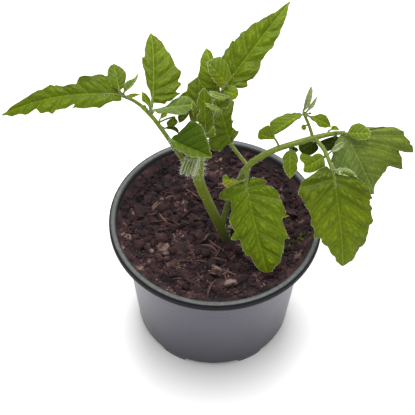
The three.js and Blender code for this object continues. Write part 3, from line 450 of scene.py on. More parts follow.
def bed_surface():
    """A closed body of nested rings: the underside, flank and lap follow the inside of the pot,
    and the top rings carry the compost's level."""
    sides = 420
    floor_top = CHANNEL_LIFT + FLOOR + CLEARANCE
    flank = wall_r(floor_top) - WALL - CLEARANCE
    neck = wall_r(NECK_Z) - WALL - CLEARANCE
    under = [
        (AXIS_R, FLOOR + CLEARANCE), (DISC_R - 1, FLOOR + CLEARANCE), (CHANNEL_R - 0.8, floor_top),
        (flank, floor_top), (neck, NECK_Z - CLEARANCE), (neck, NECK_Z + CLEARANCE),
        (LAP_R - 0.3, LEDGE_Z + 0.1),
    ]
    r = np.concatenate([[ring[0] for ring in under], np.linspace(LAP_R, 0.02, 120)])
    radius, turn = np.meshgrid(r, np.linspace(0, 2 * np.pi, sides, endpoint=False), indexing="ij")
    x, y = radius * np.cos(turn), radius * np.sin(turn)
    z = soil_height(x, y)
    z[: len(under)] = np.array([ring[1] for ring in under])[:, None]
    z[len(under)] = np.clip(z[len(under)], POT_HEIGHT - 3.3, POT_HEIGHT - 1)
    faces = ring_faces(len(r), sides).tolist()
    faces += [list(range(sides))[::-1], list(range((len(r) - 1) * sides, len(r) * sides))]
    return np.stack([x, y, z], axis=-1).reshape(-1, 3), faces


def add_numbers(made, name, values):
    """Gives each point of a mesh a number, for its material to read."""
    layer = made.data.attributes.new(name, "FLOAT", "POINT")
    layer.data.foreach_set("value", np.asarray(values, np.float32))


# Peat compost, damp: rough, almost without gloss, dark red-brown and nearly black in its
# creases. Each crumb has its own shade, and its grit is 0.3 to 1 mm.
compost, tree = bare_material("peat_compost_damp")
place = add_node(tree, "ShaderNodeTexCoord").outputs["Object"]
blotch = add_node(tree, "ShaderNodeTexNoise", {"Vector": place, "Scale": 150.0, "Detail": 6.0})
grit = add_node(
    tree, "ShaderNodeTexNoise",
    {"Vector": place, "Scale": 1100.0, "Detail": 4.0, "Roughness": 0.7},
)
own = add_node(tree, "ShaderNodeAttribute", attribute_name="shade").outputs["Fac"]
mixed = add_node(
    tree, "ShaderNodeMath", {0: blotch.outputs["Fac"], 1: 0.9, 2: own}, operation="MULTIPLY_ADD"
)
speckled = add_node(
    tree, "ShaderNodeMath", {0: grit.outputs["Fac"], 1: 0.55, 2: mixed.outputs[0]},
    operation="MULTIPLY_ADD",
)
browns = add_node(tree, "ShaderNodeValToRGB", {0: speckled.outputs[0]})
browns.color_ramp.elements[0].position = 0.45
browns.color_ramp.elements[0].color = linear("#0e0a0e")
browns.color_ramp.elements[1].position = 0.8
browns.color_ramp.elements[1].color = linear("#301d1f")
browns.color_ramp.elements.new(0.94).color = linear("#48312d")
browns.color_ramp.elements.new(1.0).color = linear("#75625a")
crumbly = add_node(
    tree, "ShaderNodeBump", {"Height": grit.outputs["Fac"], "Strength": 0.7, "Distance": 0.0006}
)
earth = add_node(
    tree, "ShaderNodeBsdfPrincipled",
    {
        "Base Color": browns.outputs[0], "Roughness": 0.88, "Normal": crumbly.outputs[0],
        "Specular IOR Level": 0.25,
    },
)
add_node(tree, "ShaderNodeOutputMaterial", {"Surface": earth.outputs[0]})

points, faces = bed_surface()
bed = add_mesh("compost_bed", points, faces, compost)
add_numbers(bed, "shade", 0.22 * lattice_noise(points[:, 0], points[:, 1], 5, 5) - 0.02)
smooth_shaded(bed, 60)
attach(bed, "root")
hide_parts("soil")


def strewn(count, reach, seed):
    """Random places on the bed, spread evenly over a disc: the radius is the reach times the
    square root of a random number."""
    draw = np.random.default_rng(seed)
    turn = draw.uniform(0, 2 * np.pi, count)
    r = reach * np.sqrt(draw.uniform(0, 1, count))
    return r * np.cos(turn), r * np.sin(turn), draw


def crumbs_surface(count, smallest, largest, detail, seed, at=None, heap=0.0, reach=LAP_R - 1):
    """Rounded lumps. Each is an icosphere whose radius is changed by three waves that run
    across it in random directions and by three shorter ones, and which is squashed a little
    and sunk in the bed, or in the heap that it is part of. Points beyond the inside of the
    pot's wall at their height are moved in to it."""
    ball = bmesh.new()
    bmesh.ops.create_icosphere(ball, subdivisions=detail, radius=1)
    bare = np.array([v.co for v in ball.verts])
    faces = np.array([[v.index for v in f.verts] for f in ball.faces])
    ball.free()
    x, y, draw = strewn(count, reach, seed)
    if at is not None:
        x, y = np.array(at, float).T
    size = smallest + (largest - smallest) * draw.uniform(0, 1, count) ** 2.2
    waves = draw.normal(0, 2.3, (count, 3, 3))
    swing = np.sin(np.einsum("vc,nwc->nwv", bare, waves) + draw.uniform(0, 6, (count, 3, 1)))
    ripples = np.sin(np.einsum("vc,nwc->nwv", bare, 3.3 * waves) + 4)
    radius = (1 + 0.17 * swing.sum(axis=1) + 0.07 * ripples.sum(axis=1)) * size[:, None]
    stretch = np.stack([draw.uniform(0.8, 1.3, count), draw.uniform(0.8, 1.3, count)], 1)
    lumps = bare[None] * radius[:, :, None]
    lumps[:, :, 0] *= stretch[:, :1]
    lumps[:, :, 1] *= stretch[:, 1:]
    lumps[:, :, 2] *= 0.75
    middle = np.stack([x, y, soil_height(x, y) + heap + 0.25 * size], axis=1)
    points = (lumps + middle[:, None]).reshape(-1, 3)
    inner_r = np.interp(points[:, 2], [0, NECK_Z, LEDGE_Z, POT_HEIGHT], INNER_R) - 0.1
    pressed = np.minimum(1, inner_r / np.hypot(points[:, 0], points[:, 1]))
    points[:, :2] *= pressed[:, None]
    numbers = (faces[None] + len(bare) * np.arange(count)[:, None, None]).reshape(-1, 3)
    shade = np.repeat(draw.normal(-0.02, 0.12, count).clip(-0.1, 1), len(bare))
    return points, numbers, shade


# Fine crumbs, lumps, sunk lumps of bark, and pale specks of grit, of which most are in front.
GRIT_COUNT, GRIT_PALER = 700, 0.3
grit_x, grit_y, _ = strewn(GRIT_COUNT, LAP_R - 1, 14)
grit_y = np.where(grit_y > -10, -grit_y, grit_y)
grit_y = -np.sqrt((LAP_R - 1) ** 2 - grit_x**2).clip(0, 60) * np.abs(grit_y / 60) ** 0.7
crumb_sets = [
    crumbs_surface(4200, 0.3, 1.1, 1, 11), crumbs_surface(380, 1.0, 2.0, 2, 12),
    crumbs_surface(220, 1.8, 4.2, 2, 13, heap=-1.0, reach=50),
    crumbs_surface(GRIT_COUNT, 0.2, 0.42, 1, 14, np.stack([grit_x, grit_y], 1)),
]
crumb_sets[2] = (*crumb_sets[2][:2], 0.6 * crumb_sets[2][2])  # evener than the fine ones
crumb_sets[3] = (*crumb_sets[3][:2], crumb_sets[3][2] + GRIT_PALER)
starts = np.cumsum([0] + [len(one[0]) for one in crumb_sets])
crumb_faces = np.vstack([one[1] + start for one, start in zip(crumb_sets, starts)])
crumbs = add_mesh(
    "compost_crumbs", np.vstack([one[0] for one in crumb_sets]), crumb_faces.tolist(), compost
)
add_numbers(crumbs, "shade", np.concatenate([one[2] for one in crumb_sets]))
smooth_shaded(crumbs, 80)
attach(crumbs, "root")

# Pale clods of grit and old compost near the front and left: each is a lump under a heap of
# crumbs, which are drawn about its middle and lifted by a Gaussian of the distance from it.
CLODS = [(0.8, -34.5), (9.7, -43.5), (-30.3, -18.5)]
CLOD_CRUMBS, CLOD_SPREAD = 45, 1.7
HEAP_RISE = HEAP_WIDTH = 2.2
offsets = np.random.default_rng(19).normal(0, CLOD_SPREAD, (len(CLODS), CLOD_CRUMBS, 2))
heaped = (np.array(CLODS)[:, None] + offsets).reshape(-1, 2)
heaps = 1 + HEAP_RISE * np.exp(-((offsets / HEAP_WIDTH) ** 2).sum(axis=2)).ravel()
grains = crumbs_surface(len(heaped), 0.4, 1.0, 2, 20, heaped, heaps)
cores = crumbs_surface(len(CLODS), 3.0, 3.6, 4, 21, CLODS, heap=0.9)
clod_faces = np.vstack([grains[1], cores[1] + len(grains[0])])
clods = add_mesh("compost_clods", np.vstack([grains[0], cores[0]]), clod_faces.tolist(), compost)
add_numbers(clods, "shade", np.concatenate([grains[2], 0 * cores[2] + 0.08]) + 0.16)
smooth_shaded(clods, 80)
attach(clods, "root")


# ---- Bark fibres -------------------------------------------------------------------------
# Strips of shredded bark, 4 to 15 mm long and about 1 mm wide, dry and paler on top of the
# compost, and lying every way with their ends in it.

def fibre_surface(count, longest, seed):
    """Flat curved strips. Each runs along a parabola and is an ellipse across, about a third
    as thick as it is wide, which narrows to both ends by the square root of a sine."""
    x, y, draw = strewn(count, 47, seed)
    length = draw.uniform(4, longest, count)
    width = draw.uniform(0.28, 0.75, count)
    heading = draw.normal(0.1, 0.9, count)
    bend = draw.normal(0, 0.08, count)
    steps, sides = 7, 6
    along = np.linspace(-0.5, 0.5, steps)
    turn = np.linspace(0, 2 * np.pi, sides, endpoint=False)
    taper = np.sqrt(np.clip(np.cos(np.pi * along * 0.98), 0.02, 1))
    forward = (along[None] * length[:, None])[..., None]
    across = bend[:, None, None] * (1 - 4 * along[None, :, None] ** 2) * length[:, None, None]
    across = across + (width[:, None] * taper)[..., None] * np.cos(turn)
    lift = 0.35 * (width[:, None] * taper)[..., None] * np.sin(turn)
    east = x[:, None, None] + forward * np.cos(heading)[:, None, None]
    east = east - across * np.sin(heading)[:, None, None]
    north = y[:, None, None] + forward * np.sin(heading)[:, None, None]
    north = north + across * np.cos(heading)[:, None, None]
    middle = soil_height(x, y) + draw.uniform(0.3, 1.2, count)
    ends = np.stack([soil_height(east[:, i].mean(1), north[:, i].mean(1)) for i in (0, -1)])
    level = np.maximum(middle, ends.max(0) + 0.1)[:, None, None]
    tilt = draw.normal(0, 0.06, count)[:, None, None] * forward
    up = level - 1.2 * np.abs(along)[None, :, None] ** 2 + tilt + lift
    points = np.stack([east, north, up], axis=-1).reshape(-1, 3)
    one = ring_faces(steps, sides)
    faces = (one[None] + steps * sides * np.arange(count)[:, None, None]).reshape(-1, 4).tolist()
    first = steps * sides * np.arange(count)
    faces += [[*range(k + sides - 1, k - 1, -1)] for k in first.tolist()]
    faces += [[*range(k + (steps - 1) * sides, k + steps * sides)] for k in first.tolist()]
    return points, faces, np.repeat(draw.uniform(0, 1, count), steps * sides)


# Shredded conifer bark, weathered: fibrous, matt, red-brown to grey-brown from strip to strip.
bark, tree = bare_material("conifer_bark_shredded")
place = add_node(tree, "ShaderNodeTexCoord").outputs["Object"]
own = add_node(tree, "ShaderNodeAttribute", attribute_name="shade").outputs["Fac"]
fibres = add_node(tree, "ShaderNodeTexNoise", {"Vector": place, "Scale": 800.0, "Detail": 4.0})
bark_shade = add_node(
    tree, "ShaderNodeMath", {0: fibres.outputs["Fac"], 1: 0.5, 2: own}, operation="MULTIPLY_ADD"
)
bark_browns = add_node(tree, "ShaderNodeValToRGB", {0: bark_shade.outputs[0]})
bark_browns.color_ramp.elements[0].position = 0.2
bark_browns.color_ramp.elements[0].color = linear("#231819")
bark_browns.color_ramp.elements[1].position = 0.8
bark_browns.color_ramp.elements[1].color = linear("#3a2a27")
bark_browns.color_ramp.elements.new(1.0).color = linear("#59423a")
bark_grain = add_node(
    tree, "ShaderNodeBump", {"Height": fibres.outputs["Fac"], "Strength": 0.6, "Distance": 0.0003}
)
wood = add_node(
    tree, "ShaderNodeBsdfPrincipled",
    {
        "Base Color": bark_browns.outputs[0], "Roughness": 0.8, "Normal": bark_grain.outputs[0],
        "Specular IOR Level": 0.2,
    },
)
add_node(tree, "ShaderNodeOutputMaterial", {"Surface": wood.outputs[0]})

points, faces, shade = fibre_surface(count=130, longest=15, seed=23)
strips = add_mesh("bark_fibres", points, faces, bark)
add_numbers(strips, "shade", shade)
smooth_shaded(strips, 60)
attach(strips, "root")


# ---- Moss --------------------------------------------------------------------------------
# A few small cushions of moss that have settled on the damp compost: heaps of tiny rounded
# shoots, each a drawn-out crumb.

# Cushion moss: matt, from dark olive to yellow-green by a number given to each shoot.
moss_skin, tree = bare_material("cushion_moss_matt")
own = add_node(tree, "ShaderNodeAttribute", attribute_name="shade").outputs["Fac"]
moss_green = add_node(
    tree, "ShaderNodeMix", {0: own, 6: linear("#2c2e14"), 7: linear("#7d8a22")}, data_type="RGBA"
)
cushion = add_node(
    tree, "ShaderNodeBsdfPrincipled",
    {"Base Color": moss_green.outputs[2], "Roughness": 0.85, "Specular IOR Level": 0.2},
)
add_node(tree, "ShaderNodeOutputMaterial", {"Surface": cushion.outputs[0]})

MOSS_SHOOTS = 70  # in each cushion
# Each cushion's place, its spread, and how far its shoots' green goes towards yellow-green.
MOSS = [(-21.9, -32, 0.9, 0.25), (43.9, -14.4, 2.2, 0.2), (52, -8, 2.0, 0.2), (40, -18, 1.5, 0.1)]
moss_places, moss_shade = [], []
for number, (x, y, spread, greenness) in enumerate(MOSS):
    draw = np.random.default_rng(30 + number)
    moss_places.append(draw.normal((x, y), spread, (MOSS_SHOOTS, 2)))
    moss_shade.append(draw.normal(greenness, 0.15, MOSS_SHOOTS).clip(0, 1))
shoot_count = len(MOSS) * MOSS_SHOOTS
shoots = crumbs_surface(shoot_count, 0.3, 0.7, 1, 34, np.vstack(moss_places), heap=0.25)
moss = add_mesh("moss_cushions", shoots[0], shoots[1].tolist(), moss_skin)
add_numbers(moss, "shade", np.repeat(np.concatenate(moss_shade), len(shoots[0]) // shoot_count))
smooth_shaded(moss, 80)
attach(moss, "root")


# ---- Stem --------------------------------------------------------------------------------
# The main stem leans back out of the compost, thickens at its node and carries every leaf.
# It is soft, juicy and ribbed a little, purple-grey at the foot, and covered with hairs.

STEM_POINTS = [
    (9.6, -10, 56), (7.6, -10, 81), (2, -9.6, 98), (-6, -9, 122.2),
    (-10.6, -8.5, 138.2), (-10.9, -7.5, 150.6), (-10.1, -5, 161), (-7.6, 0.8, 176.5),
]
STEM_RADII = [2.6, 3.2, 3.0, 3.0, 3.3, 3.5, 2.6, 1.5]


def unit(vectors):
    """Vectors divided by their lengths."""
    return vectors / np.linalg.norm(vectors, axis=-1, keepdims=True)


def centreline(points, share):
    """Places on a smooth line through points, at shares of its run. Each span is a cubic with
    slopes from the four points about it, weighed by the square roots of their distances,
    and the line is carried on straight past its ends."""
    points = np.array(points, float)
    points = np.vstack([2 * points[0] - points[1], points, 2 * points[-1] - points[-2]])
    gap = np.sqrt(np.linalg.norm(np.diff(points, axis=0), axis=1))[:, None]
    run = share * (len(points) - 3)
    span = np.minimum(run.astype(int), len(points) - 4)
    p0, p1, p2, p3 = (points[span + k] for k in range(4))
    g0, g1, g2 = (gap[span + k] for k in range(3))
    slope1 = ((p1 - p0) / g0 - (p2 - p0) / (g0 + g1) + (p2 - p1) / g1) * g1
    slope2 = ((p2 - p1) / g1 - (p3 - p1) / (g1 + g2) + (p3 - p2) / g2) * g1
    v = (run - span)[:, None]
    square = 3 * (p2 - p1) - 2 * slope1 - slope2
    cube = 2 * (p1 - p2) + slope1 + slope2
    return p1 + v * slope1 + v**2 * square + v**3 * cube


def on_stalk(points, radii, share, turn):
    """Place and outward direction on a stalk's skin: out from its centre line by its radius,
    which is drawn between the given ones, in the direction that turn gives about it."""
    ahead = centreline(points, np.minimum(share + 1e-3, 1))
    ahead = unit(ahead - centreline(points, np.maximum(share - 1e-3, 0)))
    chord = np.abs(np.subtract(points[-1], points[0]))
    across = np.eye(3)[np.argmin(chord)]
    across = unit(across - ahead * (ahead @ across)[:, None])
    other = np.cross(ahead, across)
    radius = np.interp(share * (len(radii) - 1), np.arange(len(radii)), radii)
    out = np.cos(turn)[:, None] * across + np.sin(turn)[:, None] * other
    return centreline(points, share) + radius[:, None] * out, out, ahead


def shaded(colours, share):
    """Hex colours as linear light, blended in turn at shares from 0 to 1."""
    shades = np.array([linear(colour)[:3] for colour in colours])
    spot = np.clip(share, 0, 1) * (len(shades) - 1)
    return np.stack([np.interp(spot, np.arange(len(shades)), c) for c in shades.T], -1)


def stalk_surface(points, radii, green, sides=14, steps=6, ribs=0.04):
    """A closed round stalk: rings on its skin, drawn in between five low ribs by a cosine of
    five times the angle. Its colour is shaded from the first green to the last."""
    count = (len(points) - 1) * steps + 1
    share, turn = np.meshgrid(
        np.linspace(0, 1, count), np.linspace(0, 2 * np.pi, sides, endpoint=False), indexing="ij"
    )
    share, turn = share.ravel(), turn.ravel()
    skin_points, out, _ = on_stalk(points, radii, share, turn)
    radius = np.interp(share * (len(radii) - 1), np.arange(len(radii)), radii)
    skin_points += out * (radius * ribs * (np.cos(5 * turn) - 1))[:, None]
    ends = np.array([np.arange(sides)[::-1], np.arange(sides) + (count - 1) * sides])
    return {
        "points": skin_points, "faces": [ring_faces(count, sides), ends],
        "green": shaded(green, share),
    }


def hair_surface(roots, ways, lengths, width):
    """Fine hairs. Each is a long three-sided pyramid from its root to its point."""
    aside = unit(np.cross(ways, [0.31, 0.52, 0.79]))
    other = np.cross(ways, aside)
    turn = np.radians([0, 120, 240])[:, None, None]
    feet = roots + width / 2 * (np.cos(turn) * aside + np.sin(turn) * other)
    points = np.concatenate([feet, (roots + ways * lengths[:, None])[None]])
    one = np.array([[0, 1, 3], [1, 2, 3], [2, 0, 3], [0, 2, 1]])
    faces = (one[None] + 4 * np.arange(len(roots))[:, None, None]).reshape(-1, 3)
    return {"points": points.transpose(1, 0, 2).reshape(-1, 3), "faces": [faces]}


def stalk_hairs(points, radii, count, length, seed, width=0.13, part=(0, 1)):
    """Hairs strewn evenly on a stalk between two shares of its run. They stand off it, each
    leaned at random, and from half to one and a quarter times as long as the length."""
    draw = np.random.default_rng(seed)
    share, turn = draw.uniform(*part, count), draw.uniform(0, 2 * np.pi, count)
    root, out, ahead = on_stalk(points, radii, share, turn)
    way = unit(out + draw.normal(0, 0.22, (count, 3)) + 0.12 * ahead)
    return hair_surface(root - 0.1 * out, way, length * draw.uniform(0.5, 1.25, count), width)


def add_surface(name, parts, material, degrees=50):
    """One object from several parts. Their points follow one another, and each part's face
    numbers are raised by the number of points before it. Any further arrays become layers
    of numbers or colours on the points."""
    starts = np.cumsum([0] + [len(part["points"]) for part in parts])
    faces = []
    for start, part in zip(starts, parts):
        for block in part["faces"]:
            faces += (block + start).tolist()
    made = add_mesh(name, np.vstack([part["points"] for part in parts]), faces, material)
    for layer in sorted(set(parts[0]) - {"points", "faces"}):
        values = np.concatenate([part[layer] for part in parts])
        if values.ndim == 1:
            add_numbers(made, layer, values)
        else:
            colours = made.data.attributes.new(layer, "FLOAT_COLOR", "POINT")
            rgba = np.hstack([values, np.ones((len(values), 1))])
            colours.data.foreach_set("color", rgba.astype(np.float32).ravel())
    smooth_shaded(made, degrees)
    return made


# Live tomato stem: thin waxy skin over pale green flesh, half matt, with a pale bloom of
# hairs towards its edges, which is the sheen.
stem_skin, tree = bare_material("tomato_stem_skin_live")
place = add_node(tree, "ShaderNodeTexCoord").outputs["Object"]
own = add_node(tree, "ShaderNodeAttribute", attribute_name="green").outputs["Color"]
mottle = add_node(tree, "ShaderNodeTexNoise", {"Vector": place, "Scale": 420.0, "Detail": 4.0})
streak = add_node(
    tree, "ShaderNodeMapRange", {"Value": mottle.outputs["Fac"], "To Min": 0.7, "To Max": 1.3}
)
varied = add_node(
    tree, "ShaderNodeVectorMath", {0: own, 1: streak.outputs[0]}, operation="MULTIPLY"
)
pimples = add_node(tree, "ShaderNodeTexNoise", {"Vector": place, "Scale": 1500.0, "Detail": 2.0})
uneven = add_node(
    tree, "ShaderNodeBump", {"Height": pimples.outputs["Fac"], "Strength": 0.35, "Distance": 0.0003}
)
flesh = add_node(
    tree, "ShaderNodeBsdfPrincipled",
    {
        "Base Color": varied.outputs[0], "Roughness": 0.5, "Normal": uneven.outputs[0],
        "IOR": 1.4, "Subsurface Weight": 0.2, "Subsurface Scale": 0.001,
        "Specular IOR Level": 0.3, "Sheen Weight": 0.35, "Sheen Roughness": 0.28,
        "Sheen Tint": linear("#e6ecc4"),
    },
)
add_node(tree, "ShaderNodeOutputMaterial", {"Surface": flesh.outputs[0]})

# Plant hair: clear cells that scatter the light white. A real hair is about 0.04 mm thick,
# and it is drawn up to three times as coarse here so that it shows.
hair, tree = bare_material("plant_hair_clear")
strand = add_node(
    tree, "ShaderNodeBsdfPrincipled",
    {
        "Base Color": linear("#eef0e4"), "Roughness": 0.45, "IOR": 1.4,
        "Subsurface Weight": 0.3, "Subsurface Scale": 0.0005,
    },
)
add_node(tree, "ShaderNodeOutputMaterial", {"Surface": strand.outputs[0]})

STEM_GREENS = [
    "#2b2420", "#3a3522", "#4a5412", "#56620a", "#5c680a", "#66741c", "#606e10", "#5a6c0c",
]
stem = add_surface(
    "stem", [stalk_surface(STEM_POINTS, STEM_RADII, STEM_GREENS, 24, 10)], stem_skin
)
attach(stem, "root")
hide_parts("main_stem")

stem_hairs = add_surface(
    "stem_hairs",
    [
        stalk_hairs(STEM_POINTS, STEM_RADII, 120, 0.9, 31, 0.05, part=(0.2, 0.6)),
        stalk_hairs(STEM_POINTS, STEM_RADII, 360, 3.2, 32, 0.07, part=(0.6, 1)),
    ],
    hair,
)
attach(stem_hairs, "root")


# ---- Young leaves at the growing tip -----------------------------------------------------
# New leaves crowd round the top of the stem, still narrow, folded and downy. Each leaflet
# is a thin quilted blade on a midrib, with side veins that run out into its teeth.

VEIN_SLANT = 0.9  # how far a side vein runs forward for each unit sideways
BLADE = 0.5  # thickness
ROW_GAP = 0.9  # between rows of points along a blade, and between its columns
VEIN_GAP = 10.5  # between side veins, half-way out
CELL = 4.4  # across one of the cells that stand up between the veins
DOME, GROOVE = 2.0, 0.8  # half widths of the slope beside a vein, and of the midrib's groove
RUFFLE = 0.012  # height of the waves at the edge, as a share of the length
EDGE_HAIRS = 4.05  # to each millimetre of a leaflet's length


def leaf_plane(base, tip, face, arch=0.06, sweep=0.0, fold=6.0, cup=0.3):
    """The surface that a blade lies on. A point t of the way from base to tip and w of the
    length to the right of that line is moved up by arch times a hump, 4t(1-t), sideways by
    sweep times the same hump, up by the sine of fold times |w|, and down by cup times w
    squared, where cup may differ to the right and left."""
    along = np.subtract(tip, base).astype(float)
    length = np.linalg.norm(along)
    along = along / length
    up = np.array(face, float)
    up = unit(up - along * (up @ along))
    side = np.cross(along, up)
    cup_right, cup_left = cup if isinstance(cup, tuple) else (cup, cup)

    def at(t, w):
        hump = 4 * t * (1 - t)
        lift = arch * hump + np.abs(w) * np.sin(np.radians(fold))
        lift = lift - np.where(w > 0, cup_right, cup_left) * w * w
        across = sweep * hump + w * np.cos(np.radians(fold))
        steps = t[..., None] * along + across[..., None] * side + lift[..., None] * up
        return np.array(base, float) + length * steps

    return at, length


def through(values, row, ease_off=0.75):
    """A smooth line of numbers through the given ones, at fractional places: cubics whose
    slope at each is ease_off times half the difference of its neighbours."""
    values = np.array(values, float)
    slope = ease_off * np.gradient(values, axis=0)
    start = np.minimum(row.astype(int), len(values) - 2)
    v = (row - start)[:, None]
    first, last = values[start], values[start + 1]
    square = 3 * (last - first) - 2 * slope[start] - slope[start + 1]
    cube = 2 * (first - last) + slope[start] + slope[start + 1]
    return first + v * slope[start] + v**2 * square + v**3 * cube


def cell_walls(x, y, size, seed):
    """0 on the walls between cells and up to about 1 inside them. One point is strewn in each
    square of a lattice, and the value is how much nearer the nearest is than the next."""
    spots = np.random.default_rng(seed).uniform(0.1, 0.9, (2, 64, 64))
    x, y = x / size, y / size
    column, row = np.floor(x).astype(int), np.floor(y).astype(int)
    gaps = []
    for across in (-1, 0, 1):
        for along in (-1, 0, 1):
            spot_x, spot_y = spots[:, (row + along) % 64, (column + across) % 64]
            gaps.append(np.hypot(x - column - across - spot_x, y - row - along - spot_y))
    gaps = np.sort(gaps, axis=0)
    return gaps[1] - gaps[0]


class HalfBlade:
    """One half of a leaflet's outline, right or left of its midrib. Its edge points are given
    from base to tip in hundredths of the length, along and out. Each has a root on the
    midrib, so far back that a line from it runs forward as a side vein does."""

    def __init__(self, edge, length):
        self.edge = np.vstack([(0, 0.012), np.array(edge) / 100, (1, 0.008)])
        self.roots = [0.0]
        for along, out in self.edge[1:-1]:
            least = self.roots[-1] + (1 - self.roots[-1]) * 0.3 / len(self.edge)
            self.roots.append(max(along - VEIN_SLANT * out, least))
        self.roots.append(1.0)
        self.teeth = min(1, length / len(self.edge) / 5)
        self.tooth_count = max(1, length / 4.2)

    def place(self, row, column):
        """Shares along and out of points. row is the share of the midrib at which a line
        starts, and column the share of that line. The edge has small saw teeth."""
        at_edge = np.interp(row, self.roots, np.arange(len(self.roots)))
        edge = through(self.edge, at_edge)
        notch = at_edge / len(self.roots) * self.tooth_count % 1
        tooth = np.where(notch < 0.75, notch / 0.75, (1 - notch) / 0.25) - 0.5
        size = self.teeth * np.minimum(1, 10 * edge[:, 1:]) * tooth[:, None]
        edge = edge * (1 + [0.02, 0.09] * size)
        along = row[:, None] + (edge[:, :1] - row[:, None]) * column**1.3
        return along, edge[:, 1:] * column

    def run(self, row, column, length):
        """Millimetres that the point at column has moved on by each of the rows."""
        along, out = self.place(row, np.array([column]))
        steps = np.hypot(np.diff(along[:, 0]), np.diff(out[:, 0]))
        return length * np.concatenate([[0], np.cumsum(steps)])


def blade_surface(at, length, right, left, green, left_green=None, pucker=2.0, blend=0.05):
    """One leaflet as a thin closed skin: rows of points run from its midrib to its edge as its
    veins do. It stands up between the veins by one less a Gaussian of the distance to them,
    broken up into cells between them, and it waves towards the edge by a sine along it.
    Returns the skin, and places and outward directions on its edge."""
    halves = [HalfBlade(right, length), HalfBlade(left, length)]
    fine = np.linspace(0, 1, 4000)
    edge_runs = [half.run(fine, 1.0, length) for half in halves]
    run = np.max([np.diff(edge_run) for edge_run in edge_runs] + [np.diff(fine) * length], axis=0)
    run = np.concatenate([[0], np.cumsum(run)])
    row = np.interp(np.linspace(0, run[-1], int(run[-1] / ROW_GAP) + 2), run, fine)
    veins = []
    for half, offset in zip(halves, (0.3, 0.8)):
        vein_run = half.run(fine, 0.5, length)
        gap = np.clip(length / 6, 2.2, VEIN_GAP)
        stops = np.arange(offset * gap, vein_run[-1] - 0.6 * gap, gap)
        veins.append(np.interp(stops, vein_run, fine))
    row = np.unique(np.round(np.concatenate([row, *veins]), 5))
    widest = length * max(half.edge[:, 1].max() for half in halves)
    half_row = np.linspace(0, 1, int(np.clip(widest / ROW_GAP, 5, 30)) + 1)
    half_row = np.sort(np.append(half_row, [0.4 * half_row[1], 1 - 0.4 * half_row[1]]))

    sheets = []
    for half, vein_rows, hand in zip(halves, veins, (1, -1)):
        t, w = half.place(row, half_row)
        vein_t, vein_w = half.place(vein_rows, half_row)
        gaps = np.hypot(t[:, None] - vein_t, w[:, None] - vein_w) * length
        vein = 0.8 * gaps.min(axis=1)
        rib = w * length
        margin = (1 - half_row) * w[:, -1:] * length
        inward = ease(0, 3.5 if length > 20 else 2, margin)
        aslant = (t - VEIN_SLANT * w) * length
        walls = cell_walls(rib + 90, aslant + 90, CELL, int(length) + hand)
        from_vein = np.minimum(vein, np.maximum(rib - 0.4, 0))
        dome = 1 - np.exp(-((from_vein / DOME) ** 2))
        dome = dome * (0.4 + 0.6 * (1 - np.exp(-((walls / 0.35) ** 2))))
        bulge = pucker * min(1, length / 40) * dome * inward - 0.25 * np.exp(-((rib / GROOVE) ** 2))
        edge_run = np.interp(row, fine, half.run(fine, 1.0, length))[:, None]
        wave = np.sin(edge_run * 0.5 + length + 2 * hand) * half_row**2
        bulge = bulge + RUFFLE * length * wave * np.minimum(1, w[:, -1:] * 6)
        thick = BLADE / 2 * (1 - 0.5 * half_row**4)
        hang = 0.8 * (1 - 0.75 * t.clip(0, 1)) * min(1, length / 30)
        hang = hang * np.exp(-((rib / 0.75) ** 2)) + 0.2 * np.exp(-((vein / 0.5) ** 2)) * inward
        w = w * hand
        across, onward = at(t, w + 0.01) - at(t, w - 0.01), at(t + 0.01, w) - at(t - 0.01, w)
        normal = unit(np.cross(across, onward))
        middle = at(t, w) + normal * bulge[..., None]
        rightness = ease(-blend, blend, w)[..., None]
        colour = shaded(green, t) * rightness + shaded(left_green or green, t) * (1 - rightness)
        sheet = {
            "middle": middle, "top": middle + normal * thick[..., None],
            "under": middle - normal * (thick + hang)[..., None],
            "vein": vein, "rib": rib, "margin": margin, "dome": dome * inward,
            "green": colour,
        }
        sheets.append(sheet)
    whole = {
        key: np.concatenate([sheets[1][key][:, :0:-1], sheets[0][key]], axis=1)
        for key in sheets[0]
    }

    rows, wide = whole["vein"].shape
    i, j = np.meshgrid(np.arange(rows - 1), np.arange(wide - 1), indexing="ij")
    a = (i * wide + j).ravel()
    below = rows * wide
    upper_faces = np.stack([a, a + 1, a + wide + 1, a + wide], axis=1)
    border = np.concatenate([
        np.arange(wide), np.arange(1, rows) * wide + wide - 1,
        (rows - 1) * wide + np.arange(wide - 2, -1, -1), np.arange(rows - 2, 0, -1) * wide,
    ])
    ahead = np.roll(border, -1)
    rim_faces = np.stack([ahead, border, border + below, ahead + below], axis=1)
    skin_part = {
        "points": np.concatenate([whole.pop("top"), whole.pop("under")]).reshape(-1, 3),
        "faces": [upper_faces, upper_faces[:, ::-1] + below, rim_faces],
        "upper": np.repeat([1.0, 0.0], below),
    }
    middle = whole.pop("middle")
    for key, grid in whole.items():
        skin_part[key] = np.concatenate([grid, grid]).reshape(2 * below, *grid.shape[2:])
    return skin_part, middle[:, [-1, 0]], unit(middle[:, [-1, 0]] - middle[:, [-2, 1]] + 1e-9)


def new_leaf(stalk_green):
    """The parts of one leaf, gathered as it grows: stalks, blades and hairs."""
    return {"stalk_green": stalk_green, "stalks": [], "blades": [], "hairs": []}


